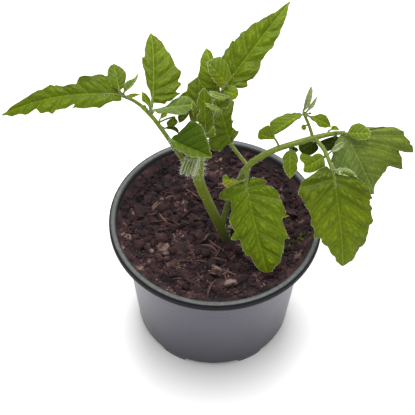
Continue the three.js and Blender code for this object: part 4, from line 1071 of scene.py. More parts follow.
def leaflet(leaf, route, stalk_r, green, base, tip, face, right, left, left_green=None,
            pucker=2.0, blend=0.05, **bends):
    """Adds a leaflet to a leaf: its blade, its own stalk from a point inside the bigger stalk
    to its midrib, and the short hairs that stand along its edge."""
    at, length = leaf_plane(base, tip, face, **bends)
    seat = at(np.array([0.0, 0.16]), np.array([0.0, 0.0]))
    route = [*route, *(seat - 0.3 * unit(np.array(face, float))).tolist()]
    radii = [stalk_r] * (len(route) - 1) + [0.6 * stalk_r]
    leaf["stalks"].append(stalk_surface(route, radii, [leaf["stalk_green"]] * 2, 9, 5))
    leaf["hairs"].append(stalk_hairs(route, radii, int(3 * length), 0.9, int(length * 77), 0.1))
    skin_part, edge, outward = blade_surface(
        at, length, right, left, green, left_green, pucker, blend
    )
    leaf["blades"].append(skin_part)
    draw = np.random.default_rng(int(length * 101))
    count = int(EDGE_HAIRS * length)
    run = draw.uniform(0, len(edge) - 1.001, count)
    row, side = run.astype(int), draw.integers(0, 2, count)
    share = (run - row)[:, None]
    root = edge[row, side] * (1 - share) + edge[row + 1, side] * share
    way = unit(outward[row, side] + draw.normal(0, 0.3, (count, 3)))
    leaf["hairs"].append(hair_surface(root, way, draw.uniform(0.3, 0.8, count), 0.08))


def finish_leaf(leaf, name, node=None):
    """Makes the three objects of a leaf. Where it is a node of the frame, the blades stand
    for that node."""
    blades = add_surface(name + "_blades", leaf["blades"], leaf_skin, 70)
    stalks = add_surface(name + "_stalks", leaf["stalks"], stem_skin)
    hairs = add_surface(name + "_hairs", leaf["hairs"], hair)
    for made in (blades, stalks, hairs):
        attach(made, "root")
    if node:
        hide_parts(node)


# Live tomato leaf: a soft matt skin over green flesh. Its domes are painted lighter and the
# creases between them darker, as painted highlight and shade; side veins and midrib are paler,
# the skin is quilted in cells 2.8 mm across, with painted shade where the cells meet, the edge
# has a thin pale line, and the underside is paler.
leaf_skin, tree = bare_material("tomato_leaf_live_downy")
place = add_node(tree, "ShaderNodeTexCoord").outputs["Object"]
green = add_node(tree, "ShaderNodeAttribute", attribute_name="green").outputs["Color"]
cloudy = add_node(tree, "ShaderNodeTexNoise", {"Vector": place, "Scale": 90.0, "Detail": 3.0})
quilt = add_node(
    tree, "ShaderNodeTexVoronoi", {"Vector": place, "Scale": 360.0}, feature="DISTANCE_TO_EDGE"
)
dome = add_node(tree, "ShaderNodeAttribute", attribute_name="dome").outputs["Fac"]
vein = add_node(tree, "ShaderNodeAttribute", attribute_name="vein").outputs["Fac"]
rib = add_node(tree, "ShaderNodeAttribute", attribute_name="rib").outputs["Fac"]
# Each of these multiplies the colour, by one number up to the first value of the thing
# measured and by another beyond the second. Veins are measured in millimetres.
tones = [
    (cloudy.outputs["Fac"], 0.2, 0.8, 0.86, 1.16),
    # painted highlight on the domes and painted shade in the creases between them
    (dome, 0.0, 1.0, 0.78, 1.1),
    # painted shade in the creases where the quilted cells meet
    (quilt.outputs["Distance"], 0.0, 0.16, 0.87, 1.04),
    (vein, 0.0, 0.42, 1.5, 1.0),
    (rib, 0.05, 0.5, 1.65, 1.0),
]
for source, low, high, first, last in tones:
    tone = add_node(
        tree, "ShaderNodeMapRange", interpolation_type="SMOOTHSTEP",
        inputs={
            "Value": source, "From Min": low, "From Max": high, "To Min": first, "To Max": last,
        },
    )
    green = add_node(
        tree, "ShaderNodeVectorMath", {0: green, 1: tone.outputs[0]}, operation="MULTIPLY"
    ).outputs[0]
# Both of these mix in a paler green, at the edge and on the underside.
for source, near, far, most, colour in (
    ("margin", 0.05, 0.4, 0.3, "#a3b073"), ("upper", 0.0, 1.0, 0.6, "#6f7f50")
):
    measured = add_node(tree, "ShaderNodeAttribute", attribute_name=source).outputs["Fac"]
    share = add_node(
        tree, "ShaderNodeMapRange", interpolation_type="SMOOTHSTEP",
        inputs={
            "Value": measured, "From Min": near, "From Max": far, "To Min": most, "To Max": 0.0,
        },
    )
    green = add_node(
        tree, "ShaderNodeMix", {0: share.outputs[0], 6: green, 7: linear(colour)},
        data_type="RGBA",
    ).outputs[2]
relief = add_node(
    tree, "ShaderNodeMath", {0: quilt.outputs["Distance"], 1: 2.0, 2: cloudy.outputs["Fac"]},
    operation="MULTIPLY_ADD",
)
puckered = add_node(
    tree, "ShaderNodeBump",
    {"Height": relief.outputs[0], "Strength": 0.35, "Distance": 0.0005},
)
tissue = add_node(
    tree, "ShaderNodeBsdfPrincipled",
    {
        "Base Color": green, "Roughness": 0.5, "Normal": puckered.outputs[0], "IOR": 1.42,
        "Subsurface Weight": 0.08, "Subsurface Scale": 0.001, "Specular IOR Level": 0.13,
    },
)
add_node(tree, "ShaderNodeOutputMaterial", {"Surface": tissue.outputs[0]})


# The green of young leaflets, from base to tip.
YOUNG = ["#5a6b0e", "#56670a"]

tip_leaves = new_leaf(stalk_green="#58671a")
leaflet(
    tip_leaves, [(-9.8, -3.4, 164), (-10.8, 5, 164.2)], 1, YOUNG,
    base=(-10.5, 12, 165.9), tip=(-11.7, 32, 183.1), face=(-0.1, -0.5, 0.86),
    right=[(8, 9), (26, 14), (43, 19), (58, 22), (69, 22), (78, 17), (89, 13)],
    left=[(3, 20), (22, 26), (37, 29), (53, 47), (62, 38), (70, 27), (85, 23)],
)
leaflet(
    tip_leaves, [(-8.6, -2, 168)], 1, YOUNG,
    base=(-6.8, -2.5, 169.6), tip=(-8.6, 10.5, 196.3), face=(0, -0.6, 0.8),
    right=[(16, 8), (29, 16), (49, 15), (65, 13), (81, 14), (92, 7)],
    left=[(16, 5), (30, 12), (45, 16), (59, 9), (71, 14), (89, 10)],
)
leaflet(
    tip_leaves, [STEM_POINTS[-1]], 0.9, YOUNG,
    base=(-10, 3, 177.5), tip=(-15, 8, 188), face=(-0.3, -0.8, 0.5), fold=20,
    right=[(15, 14), (40, 24), (55, 15), (75, 14)],
    left=[(15, 14), (35, 22), (50, 15), (75, 12)],
)
leaflet(
    tip_leaves, [(-8.3, -1, 171)], 0.9, YOUNG,
    base=(-5.6, -4.5, 172), tip=(-2.5, -6, 183), face=(0.2, -0.8, 0.5), fold=16,
    right=[(15, 14), (40, 26), (55, 17), (75, 14)],
    left=[(15, 14), (35, 24), (50, 16), (75, 13)],
)
finish_leaf(tip_leaves, "tip")


# ---- Right leaf --------------------------------------------------------------------------
# The oldest leaf leaves the stem just above the compost and reaches out over the right rim.
# It forks near its end, and its leaflets grow in pairs with small ones between.

NODE = (18.2, 4, 137)
FORK = (55.8, 17, 148.4)
UPPER_END = (50, 26, 159.3)
LOWER_END = (67.6, -2, 140.8)


def add_stalk(leaf, points, radii, green, hairs, length):
    """Adds one of a leaf's own stalks, with its hairs."""
    leaf["stalks"].append(stalk_surface(points, radii, green, 14, 7))
    leaf["hairs"].append(stalk_hairs(points, radii, hairs, length, len(leaf["stalks"])))


# Greens of its leaflets, each from base to tip.
DEEP = ["#2d3c02", "#364603"]  # in the shade under the rest
MID = ["#516208", "#586a07"]
FRESH = ["#546607", "#5b6d08"]
# darker at its base: painted shade under the leaflets over it
BROAD = ["#475607", "#5d6e08", "#5f7108"]
CLOUDED = ["#64742e", "#5a6a12"]
# painted sheen: the pale blue-grey of light glancing off the leaf's hairs
SHEEN_BLUE = ["#687b40", "#61742a"]
RIPENED = ["#66700c", "#706c15"]  # turning yellow
DOWNY = ["#8b9668", "#7b8750"]  # grey with down

right_leaf = new_leaf(stalk_green="#5c6a1a")
RIGHT_RACHIS = [
    (4.4, -9.8, 91), (4.4, -9.3, 99), (6.9, -4.5, 109), (11.9, 0.4, 121.4), NODE,
    (31.9, 9, 145.2), (47.6, 14, 148), FORK, (65.9, 20, 148.9), (74.8, 22, 148.6),
]
RIGHT_RADII = [1.8, 1.9, 1.8, 1.8, 2, 1.9, 1.9, 1.8, 1.5, 1.1]
add_stalk(right_leaf, RIGHT_RACHIS, RIGHT_RADII, ["#48530f", "#5c6a1a", "#5c6a1a"], 260, 1.0)
# The stump of a seed leaf that has dropped off.
add_stalk(
    right_leaf, [(7.2, -10.6, 80), (7.2, -10.2, 86), (8, -9.6, 91)], [1.7, 1.6, 0.9],
    ["#2b2420", "#3a4423", "#3a4423"], 20, 0.8,
)
add_stalk(right_leaf, [FORK, (53, 21.5, 155), UPPER_END], [1.1, 1, 0.9], ["#5c6a1a"] * 2, 60, 0.9)
add_stalk(
    right_leaf, [(57, 17, 148.4), (62.6, 9.5, 146), LOWER_END], [1.3, 1.3, 1.2],
    ["#5c6a1a"] * 2, 70, 0.9,
)
# Leaflet that hangs forward over the compost, with its small companion.
leaflet(
    right_leaf, [NODE], 1.4, FRESH,
    base=(17.3, -2, 128.5), tip=(31.3, -38, 88.9), face=(-0.1, -0.7, 0.7), cup=0.35,
    right=[
        (-3, 5), (-2, 9), (0, 17), (1, 24), (4, 28), (9, 32), (12, 26), (14, 20), (19, 20),
        (25, 22), (32, 25), (38, 26), (44, 24), (48, 24), (54, 28), (57, 26), (57, 20), (61, 20),
        (67, 19), (76, 17), (78, 13), (87, 11), (95, 7), (99, 3),
    ],
    left=[
        (-2, 4), (-4, 6), (-4, 10), (-1, 16), (1, 21), (3, 22), (5, 19), (6, 19), (8, 23), (10, 27),
        (14, 30), (19, 32), (23, 32), (26, 33), (30, 34), (37, 34), (42, 35), (44, 38), (44, 30),
        (50, 30), (57, 30), (62, 31), (67, 32), (67, 28), (75, 25), (80, 22), (84, 20), (91, 17),
        (95, 11), (99, 6),
    ],
)
leaflet(
    right_leaf, [(17.3, -1, 130.5)], 0.7, FRESH, left_green=RIPENED,
    base=(12.5, -3, 130.5), tip=(3.5, -3, 132.9), face=(0, -0.5, 0.85), fold=8, cup=0.2,
    right=[(30, 13), (56, 11), (85, 32), (101, 16)],
    left=[(18, 17), (42, 35), (66, 49), (94, 32)],
)
# Leaflet that stands up behind the stem.
leaflet(
    right_leaf, [NODE, (12.5, 11, 139)], 1.1, MID,
    base=(7.9, 17, 141.3), tip=(-3.4, 44, 158.5), face=(0.1, -0.5, 0.86), fold=4, cup=0.5,
    right=[
        (8, 10), (12, 16), (17, 20), (19, 16), (24, 13), (27, 11), (34, 14), (40, 19), (38, 14),
        (46, 16), (55, 22), (62, 25), (69, 28), (75, 25), (83, 22), (97, 10),
    ],
    left=[
        (1, 4), (1, 7), (-2, 13), (-6, 19), (-7, 23), (-4, 23), (-3, 30), (2, 35), (6, 38),
        (16, 35), (26, 34), (36, 36), (57, 33), (79, 26), (96, 13),
    ],
)
# Small leaflets above and below the rachis.
leaflet(
    right_leaf, [(36.4, 10, 147)], 0.7, YOUNG,
    base=(33.3, 12, 152.5), tip=(23.2, 10, 158.9), face=(0, -0.6, 0.8), fold=4,
    right=[(17, 27), (36, 47), (47, 54), (60, 54), (74, 45), (87, 33), (100, 19)],
    left=[(28, 9), (60, 16), (81, 24), (98, 17)],
)
leaflet(
    right_leaf, [(42.4, 12, 147)], 0.7, MID,
    base=(42.5, 10.5, 144.6), tip=(42.8, -3, 134.9), face=(0, -0.75, 0.66), fold=8, cup=0.4,
    right=[(4, 10), (14, 20), (28, 28), (40, 25), (57, 25), (73, 19), (88, 11)],
    left=[(-2, 4), (4, 18), (18, 26), (32, 29), (42, 28), (52, 25), (68, 27), (81, 18), (92, 8)],
)
leaflet(
    right_leaf, [(41, 12, 147)], 0.6, DEEP,
    base=(41.8, 13, 144.6), tip=(47.9, 13, 141.5), face=(-0.1, -0.5, 0.8), fold=4,
    right=[(33, 15), (75, 24)],
    left=[(23, 13), (71, 17)],
)
# The upward side stalk at the fork, with its narrow young leaflets.
leaflet(
    right_leaf, [UPPER_END], 0.8, YOUNG,
    base=(48.9, 26, 158.8), tip=(32.1, 16, 153.2), face=(-0.2, -0.3, 0.9), fold=-20, cup=0.2,
    right=[
        (0, 12), (9, 15), (12, 23), (22, 22), (33, 36), (47, 39), (61, 44), (74, 43), (85, 41),
        (93, 33),
    ],
    left=[(11, 8), (24, 7), (44, 11), (62, 12), (80, 11), (97, 8)],
)
leaflet(
    right_leaf, [UPPER_END], 0.7, DOWNY,
    base=(49.8, 27, 160.5), tip=(53.9, 38, 170.5), face=(0.5, -0.7, 0.4), fold=26, cup=0,
    right=[(23, 11), (54, 12), (84, 9)],
    left=[(25, 20), (55, 25), (82, 20)],
)
leaflet(
    right_leaf, [UPPER_END], 0.6, DOWNY,
    base=(51.9, 27, 160.5), tip=(57.6, 34, 166), face=(0.5, -0.7, 0.4), fold=20, cup=0,
    right=[(39, 12), (76, 8)],
    left=[(29, 20), (69, 18)],
)
leaflet(
    right_leaf, [UPPER_END], 0.7, YOUNG,
    base=(53.1, 26, 157.6), tip=(66.5, 24, 150.9), face=(0.2, -0.4, 0.9),
    right=[(15, 12), (32, 15), (49, 25), (75, 18)],
    left=[(20, 10), (39, 28), (66, 30), (86, 14)],
)
leaflet(
    right_leaf, [(51, 26, 158.8)], 0.7, YOUNG,
    base=(51.9, 25, 160.4), tip=(53.2, 22.5, 164.6), face=(0.2, -0.8, 0.1), fold=10,
    right=[(20, 30), (60, 35)],
    left=[(20, 30), (60, 35)],
)
leaflet(
    right_leaf, [(64.5, 19.6, 148.9), (65, 21, 150.4)], 0.6, YOUNG,
    base=(66.2, 22, 150.6), tip=(71.2, 20, 153), face=(0, -0.4, 0.9),
    right=[(39, 10), (69, 10)],
    left=[(10, 40), (62, 36)],
)
leaflet(
    right_leaf, [(53, 21.5, 155)], 0.6, YOUNG,
    base=(51.6, 21.4, 154.6), tip=(48.9, 20, 152.6), face=(0, -0.6, 0.8), fold=10, cup=0.8,
    right=[(22, 40), (71, 40)],
    left=[(40, 45), (80, 40)],
)
# The downward side stalk at the fork carries the big leaflet outside the rim.
leaflet(
    right_leaf, [(65.6, 2.5, 143.6)], 1.3, BROAD,
    base=LOWER_END, tip=(76.6, -33, 90.4), face=(0.1, -0.72, 0.68), arch=0.1, fold=2, cup=0.35,
    right=[
        (-6, 5), (-5, 11), (-1, 19), (2, 26), (6, 32), (11, 35), (17, 36), (20, 34), (24, 33),
        (24, 31), (29, 32), (34, 28), (41, 28), (47, 28), (54, 26), (61, 27), (63, 27), (63, 21),
        (67, 20), (74, 15), (81, 12), (87, 8), (92, 7), (98, 3),
    ],
    left=[
        (-2, 7), (1, 14), (8, 21), (11, 24), (17, 30), (27, 34), (32, 35), (34, 32), (37, 32),
        (42, 33), (52, 33), (57, 32), (57, 30), (64, 28), (73, 25), (81, 19), (83, 17), (89, 13),
        (96, 8),
    ],
)
leaflet(
    right_leaf, [(63.6, 8, 145.4)], 0.9, FRESH,
    base=(62.5, 6.5, 144), tip=(50.3, 1, 139.1), face=(-0.1, -0.6, 0.8), fold=4,
    right=[(8, 21), (22, 28), (52, 30), (72, 60), (89, 49), (92, 34), (86, 18), (93, 5)],
    left=[(20, 41), (38, 36), (58, 35), (85, 28), (103, 13)],
)
leaflet(
    right_leaf, [(64.2, 7, 145)], 0.6, DOWNY,
    base=(66.2, 9, 145.4), tip=(74.5, 15, 147), face=(0.3, -0.7, 0.6), fold=20, cup=0,
    right=[(22, 10), (53, 12), (84, 8)],
    left=[(21, 19), (50, 25), (80, 19)],
)
leaflet(
    right_leaf, [(67.2, -1, 141.4)], 0.8, DOWNY,
    base=(68.4, -2, 142), tip=(82.1, -2, 137.4), face=(0.1, -0.5, 0.8), fold=10,
    right=[(17, 12), (50, 12), (82, 10)],
    left=[(19, 15), (52, 19), (81, 11)],
)
# The broad end leaflet with small ones where it starts.
# Its right half is painted with the blue-grey sheen, blending into the left half's green.
leaflet(
    right_leaf, [(72, 21.4, 148.6)], 1.1, SHEEN_BLUE, left_green=CLOUDED, pucker=0.8, blend=0.35,
    base=(74.8, 22, 147.8), tip=(94.4, 3, 114.8), face=(0, -0.5, 0.8), arch=0.1, fold=0,
    cup=(0.35, 0.12),
    right=[(0, 9), (7, 19), (16, 28), (27, 36), (41, 37), (56, 33), (71, 27), (84, 20), (95, 11)],
    left=[
        (4, 25), (10, 37), (13, 41), (15, 46), (17, 51), (20, 55), (23, 61), (26, 66), (30, 69),
        (34, 71), (38, 74), (44, 74), (51, 76), (57, 77), (58, 74), (63, 78), (70, 77), (74, 75),
        (70, 69), (65, 63), (61, 61), (59, 57), (64, 56), (71, 57), (76, 54), (85, 52), (88, 51),
        (86, 48), (80, 47), (75, 44), (73, 39), (72, 33), (75, 30), (77, 27), (77, 22), (80, 17),
        (83, 12), (88, 6), (94, 2),
    ],
)
leaflet(
    right_leaf, [(73, 21.6, 148.6)], 0.8, FRESH,
    base=(75.8, 19.5, 150.4), tip=(89.6, 18, 152.6), face=(0.1, -0.4, 0.9), fold=4, cup=0.4,
    right=[(22, 20), (55, 31), (88, 22)],
    left=[(18, 33), (47, 46), (80, 28)],
)
# Shaded leaflets under the rachis.
leaflet(
    right_leaf, [(70.2, 21.3, 148.4)], 0.8, DEEP,
    base=(69.6, 21.5, 146), tip=(64.6, 18.5, 134.6), face=(0, -0.6, 0.8), fold=4,
    right=[(41, 34), (70, 50), (88, 33)],
    left=[(1, 24), (37, 25), (78, 16)],
)
leaflet(
    right_leaf, [(58, 17.6, 148.2), (58.6, 19, 145)], 0.8, DEEP,
    base=(57.8, 19.5, 142.5), tip=(48.4, 18, 136.1), face=(-0.1, -0.6, 0.8), fold=4,
    right=[(25, 16), (60, 26), (89, 23)],
    left=[(1, 38), (40, 53), (85, 42)],
)
finish_leaf(right_leaf, "right_leaf", "leaf_right")


# ---- Left leaf ---------------------------------------------------------------------------
# The long leaf that leaves the node and reaches out to the left, with a long narrow end
# leaflet and small ones crowded where it starts.

# Greens of its leaflets, each from base to tip.
LONG = ["#4a5b05", "#4e6006"]
DARK = ["#334a02", "#415602"]  # the half turned from the light

left_leaf = new_leaf(stalk_green="#5c6a1a")
LEFT_RACHIS = [
    (-11.5, -8, 142), (-15.6, -7.8, 148), (-20.4, -6.2, 155), (-27.3, -2, 164.9),
    (-38.2, 4.4, 179), (-46.7, 8, 186.1), (-54.5, 9, 190),
]
add_stalk(
    left_leaf, LEFT_RACHIS, [1.9, 1.8, 1.6, 1.4, 1.3, 1.1, 1], ["#5c6a1a", "#5b691a"], 240, 1.5
)
# End leaflet and the small ones at its base.
leaflet(
    left_leaf, [(-53, 8.8, 189.2)], 1, LONG, left_green=FRESH, pucker=1.1, blend=0.3,
    base=(-55, 9, 190.4), tip=(-122.6, 4, 176.9), face=(-0.1, -0.5, 0.85), arch=0.05, sweep=0.06,
    right=[
        (2, 6), (6, 10), (8, 15), (10, 15), (12, 16), (16, 17), (18, 16), (22, 15), (26, 15),
        (31, 15), (33, 12), (35, 9), (38, 9), (41, 9), (45, 8), (48, 9), (51, 10), (53, 10),
        (56, 11), (59, 10), (62, 9), (65, 9), (68, 9), (71, 8), (74, 7), (78, 6), (83, 5), (88, 4),
        (92, 3), (96, 1),
    ],
    left=[
        (0, 4), (1, 5), (4, 6), (7, 6), (9, 7), (12, 8), (15, 10), (18, 12), (22, 12), (28, 12),
        (34, 12), (38, 11), (41, 12), (39, 10), (38, 8), (42, 9), (46, 11), (48, 11), (52, 11),
        (54, 11), (57, 13), (61, 11), (64, 11), (67, 11), (68, 9), (70, 6), (72, 6), (75, 7),
        (77, 8), (80, 8), (84, 6), (89, 5), (92, 5), (96, 2),
    ],
)
leaflet(
    left_leaf, [(-53.5, 8.9, 189.6)], 0.8, LONG,
    base=(-56, 10, 193.2), tip=(-59.7, 26, 198), face=(0, -0.5, 0.85), arch=0.08, fold=4,
    right=[(9, 19), (43, 32), (66, 29), (84, 15)],
    left=[(17, 20), (48, 28), (79, 25), (94, 14)],
)
leaflet(
    left_leaf, [(-53, 8.8, 189.4)], 0.6, SHEEN_BLUE,
    base=(-53.4, 8.5, 193.4), tip=(-45.6, 16, 201.4), face=(0, -0.6, 0.8), sweep=0.08, fold=10,
    right=[(19, 4), (52, 7), (86, 6)],
    left=[(23, 23), (48, 24), (72, 8)],
)
leaflet(
    left_leaf, [(-52, 8.7, 188.8)], 0.6, YOUNG,
    base=(-51.6, 8, 191), tip=(-44.3, 4.5, 196.6), face=(0, -0.5, 0.8), fold=14,
    right=[(37, 17), (70, 15)],
    left=[(33, 8), (68, 8)],
)
# Leaflet that stands up and back from the middle of the rachis.
leaflet(
    left_leaf, [(-38.6, 5.4, 181)], 1, MID,
    base=(-37.8, 10, 183.4), tip=(-40, 52, 196.8), face=(0, -0.4, 0.9), sweep=0.03, cup=0.35,
    right=[
        (-1, 11), (-2, 17), (1, 19), (1, 23), (3, 26), (6, 29), (9, 32), (12, 36), (13, 32),
        (14, 29), (16, 31), (20, 34), (23, 36), (26, 35), (28, 32), (31, 33), (37, 35), (41, 36),
        (44, 32), (48, 29), (55, 27), (61, 24), (67, 21), (72, 18), (80, 15), (86, 12), (89, 9),
        (93, 7), (96, 3),
    ],
    left=[
        (5, 1), (10, 3), (15, 4), (20, 7), (25, 9), (31, 10), (36, 11), (42, 12), (48, 14),
        (53, 15), (56, 15), (62, 15), (62, 12), (69, 11), (75, 11), (81, 9), (88, 7), (94, 4),
    ],
)
# Leaflet on the inner side, with a young one under its end.
leaflet(
    left_leaf, [(-37.4, 4.9, 180.4)], 0.8, SHEEN_BLUE,
    base=(-36.6, 6.6, 181.2), tip=(-14.1, 14, 178.9), face=(0, -0.5, 0.86), arch=0.04, fold=4,
    right=[(9, 11), (29, 13), (48, 20), (66, 21), (84, 15)],
    left=[(14, 3), (30, 5), (49, 16), (71, 22), (90, 18)],
)
leaflet(
    left_leaf, [(-17.6, 13, 179.4)], 0.6, YOUNG,
    base=(-17.5, 13, 175.8), tip=(-22.5, 8.4, 168.6), face=(0, -0.5, 0.86), fold=4,
    right=[(30, 22), (70, 26)],
    left=[(30, 22), (70, 18)],
)
leaflet(
    left_leaf, [(-33.4, 2.5, 175.6), (-29.5, 6, 174.6)], 0.6, FRESH,
    base=(-25, 8.5, 173.6), tip=(-27.4, 4.5, 167.4), face=(0, -0.5, 0.85),
    right=[(30, 30), (57, 42), (75, 35)],
    left=[(21, 35), (52, 30), (78, 12)],
)
# Folded leaflet that points forward over the node.
leaflet(
    left_leaf, [(-27.3, -2, 164.9)], 1, LONG, left_green=DARK,
    base=(-26.6, -5, 169.2), tip=(-3.2, -16, 167.7), face=(0, -0.55, 0.83), arch=0.08, fold=24,
    cup=0.2,
    right=[
        (5, 9), (16, 15), (28, 18), (33, 18), (39, 18), (49, 20), (59, 20), (67, 18), (74, 14),
        (82, 13), (89, 7), (96, 3),
    ],
    left=[
        (2, 10), (8, 16), (13, 20), (15, 28), (17, 35), (21, 40), (22, 46), (25, 53), (29, 58),
        (41, 60), (55, 56), (67, 46), (75, 37), (81, 28), (88, 20), (90, 14), (95, 9),
    ],
)
# Tiny leaflets and slivers along the rachis.
leaflet(
    left_leaf, [(-33.5, 2.7, 175.8)], 0.5, YOUNG,
    base=(-33.2, 3.4, 177.4), tip=(-28.6, 5.4, 180.6), face=(0, -0.5, 0.85),
    right=[(37, 14), (72, 18)],
    left=[(40, 30), (80, 28)],
)
leaflet(
    left_leaf, [(-31.5, 1.3, 172.8)], 0.5, DEEP,
    base=(-30.4, 2, 171.2), tip=(-22.4, 5, 163), face=(0, -0.5, 0.85), sweep=-0.12, fold=10,
    right=[(22, 7), (55, 7), (86, 5)],
    left=[(17, 10), (49, 14), (86, 11)],
)
leaflet(
    left_leaf, [(-38.6, 5.4, 181.4)], 0.6, YOUNG,
    base=(-39, 6, 184.4), tip=(-43.4, 11, 191.4), face=(0.3, -0.6, 0.7), fold=20, cup=0,
    right=[(37, 22), (80, 16)],
    left=[(34, 16), (61, 29)],
)
leaflet(
    left_leaf, [(-40.4, 6, 182.4)], 0.6, YOUNG,
    base=(-40.6, 4.6, 184.6), tip=(-44, 3.6, 187), face=(0, -0.6, 0.8), fold=5,
    right=[(31, 37), (82, 31)],
    left=[(13, 30), (69, 30)],
)
finish_leaf(left_leaf, "left_leaf", "leaf_left")


# ---- Top leaf ----------------------------------------------------------------------------
# The upright leaf that leaves the stem near its top and points up and back to the right.

# Greens of its leaflets, each from base to tip.
SHADED = ["#515f08", "#3c4e06"]
BRONZED = ["#626e10", "#57680b", "#586a22"]
CURLED = ["#707c34", "#66742c"]

top_leaf = new_leaf(stalk_green="#5c6a1a")
TOP_PETIOLE = [
    (-9.6, 0, 169), (-6.4, 4, 173.4), (-1.8, 10, 181.5), (1.8, 14.6, 188.6), (2.8, 16.4, 190.8),
]
add_stalk(top_leaf, TOP_PETIOLE, [1.6, 1.5, 1.4, 1.3, 1.1], ["#5c6a1a", "#5b691a"], 120, 1.4)
leaflet(
    top_leaf, [(1.6, 14.4, 188.4)], 1.2, MID,
    base=(2.6, 16, 190.8), tip=(39.1, 60, 216.3), face=(0.05, -0.4, 0.9), arch=0.05, fold=8,
    right=[
        (4, 5), (6, 9), (8, 12), (10, 15), (13, 17), (17, 14), (21, 16), (24, 17), (28, 17),
        (31, 17), (35, 15), (39, 13), (42, 13), (46, 13), (50, 13), (54, 14), (58, 13), (62, 12),
        (66, 12), (68, 12), (72, 10), (76, 9), (80, 8), (84, 7), (89, 5), (93, 3), (97, 1),
    ],
    left=[
        (6, 9), (13, 15), (18, 17), (20, 18), (23, 18), (26, 19), (31, 19), (34, 19), (37, 20),
        (39, 19), (39, 17), (41, 18), (46, 17), (50, 18), (54, 15), (59, 15), (64, 13), (69, 11),
        (74, 9), (79, 7), (83, 5), (87, 4), (92, 3), (96, 2),
    ],
)
leaflet(
    top_leaf, [(0.4, 12.8, 186)], 0.9, FRESH,
    base=(-0.4, 14.4, 190), tip=(-8, 34, 204.1), face=(-0.1, -0.5, 0.86), arch=0.08, cup=0.4,
    right=[(20, 15), (41, 21), (63, 23), (68, 17), (73, 11), (82, 10), (89, 9), (94, 5)],
    left=[(4, 24), (25, 34), (46, 34), (55, 28), (66, 24), (77, 20), (87, 13), (94, 6)],
)
leaflet(
    top_leaf, [(1.6, 14.4, 188.2)], 0.8, FRESH,
    base=(2.1, 11, 193.7), tip=(10.7, 9, 192.5), face=(0.1, -0.5, 0.86), arch=0.1, fold=4,
    cup=0.4,
    right=[(10, 30), (30, 42), (60, 46), (88, 30)],
    left=[(10, 30), (30, 45), (60, 52), (90, 33)],
)
leaflet(
    top_leaf, [(-1.8, 10, 181.5), (-2.6, 8.6, 186)], 0.8, SHADED,
    base=(-2.8, 7.6, 189), tip=(6.7, 6, 190.2), face=(0, -0.5, 0.86), arch=0.2, fold=-4, cup=0.5,
    right=[(23, 31), (53, 43), (84, 32)],
    left=[(13, 21), (41, 26), (75, 19)],
)
leaflet(
    top_leaf, [(1.8, 14.8, 189)], 0.8, BRONZED,
    base=(4.2, 11.5, 198.2), tip=(-7, 18, 209.5), face=(0, -0.5, 0.86), arch=0.08,
    right=[(9, 25), (25, 34), (41, 40), (60, 44), (75, 44), (86, 42), (96, 26)],
    left=[(-3, 16), (10, 24), (32, 24), (43, 25), (58, 23), (72, 20), (90, 10)],
)
leaflet(
    top_leaf, [(-1.8, 10, 181.5), (0.5, 8.5, 190)], 0.6, CURLED,
    base=(5.5, 6.2, 193.7), tip=(-5.8, 7, 197.8), face=(0, -0.5, 0.86), arch=0.1, sweep=-0.1,
    fold=10,
    right=[(20, 10), (50, 13), (80, 9)],
    left=[(20, 12), (50, 17), (80, 12)],
)
leaflet(
    top_leaf, [(-6, 1.5, 174), (-1, 2.5, 182)], 0.6, CURLED,
    base=(1.8, 3, 186.7), tip=(-7.8, 4, 191.1), face=(0, -0.5, 0.86), arch=0.1, sweep=-0.08,
    fold=12,
    right=[(20, 10), (50, 12), (80, 8)],
    left=[(20, 12), (50, 15), (80, 10)],
)
finish_leaf(top_leaf, "top_leaf", "leaf_top")


# ---- Flower buds -------------------------------------------------------------------------
# Three closed buds hang side by side in front of the node. Each is five narrow sepals shut
# to a point, green with paler seams, and is furred with white hairs 1 to 2 mm long.

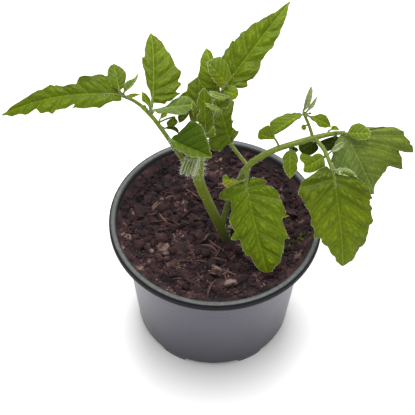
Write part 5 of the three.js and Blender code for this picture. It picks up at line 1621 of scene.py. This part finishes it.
SPRAY = [(-10.9, -7, 157), (-12.4, -11, 161.6), (-15.6, -11.4, 161.6), (-18.6, -11.2, 160)]
BUDS = [
    ((-16.6, -11.2, 162), (-20.6, -14, 150)),
    ((-13.5, -11.4, 161.5), (-17.3, -14.6, 149.3)),
    ((-10.8, -11.3, 161.8), (-13.5, -15, 150)),
]
BUD_SHARES = (0, 0.3, 0.6, 0.88, 1)  # of a bud's length, at which its radii are given
BUD_RADII = [0.6, 1.6, 1.85, 1.15, 0.2]
SPRAY_RADII = [1.2, 1.3, 1.3, 1.1]
SEPALS, SEAM_TURN = 5, 0.31  # the first seam is that many radians round


def bud_line(top, end):
    """Points on the middle line of a bud, at its shares."""
    return [tuple(np.array(top) + k * np.subtract(end, top)) for k in BUD_SHARES]


def bud_surface(top, end, green):
    """A closed bud: rings about the line from top to end, whose radius is drawn between the
    given ones and is less between the five sepals by a power of a cosine."""
    count, sides = 26, 40
    share, turn = np.meshgrid(
        np.linspace(0, 1, count), np.linspace(0, 2 * np.pi, sides, endpoint=False), indexing="ij"
    )
    share, turn = share.ravel(), turn.ravel()
    places, out, _ = on_stalk(bud_line(top, end), BUD_RADII, share, turn)
    seam = np.abs(np.cos(SEPALS / 2 * (turn - SEAM_TURN))) ** 7
    radius = np.interp(share * 4, np.arange(5), BUD_RADII)
    places = places - out * (0.14 * seam * radius)[:, None]
    ends = np.array([np.arange(sides)[::-1], np.arange(sides) + (count - 1) * sides])
    dark, pale = (np.array(linear(colour)[:3]) for colour in green)
    colour = dark + (pale - dark) * seam[:, None]
    return {"points": places, "faces": [ring_faces(count, sides), ends], "green": colour}


bud_parts = [stalk_surface(SPRAY, SPRAY_RADII, ["#58671a"] * 2, 12, 6)]
BUD_GREENS = [("#42560a", "#98a478"), ("#465a0c", "#98a478"), ("#808866", "#a8ae8e")]
bud_parts += [bud_surface(top, end, green) for (top, end), green in zip(BUDS, BUD_GREENS)]
buds = add_surface("flower_buds_closed", bud_parts, stem_skin)
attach(buds, "root")
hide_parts("flower_buds")

fur = [stalk_hairs(SPRAY, SPRAY_RADII, 160, 2.0, 51, 0.06)]
for number, (top, end) in enumerate(BUDS):
    fur.append(stalk_hairs(bud_line(top, end), BUD_RADII, 190, 1.8, 52 + number, 0.06))
bud_hairs = add_surface("bud_hairs", fur, hair)
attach(bud_hairs, "root")
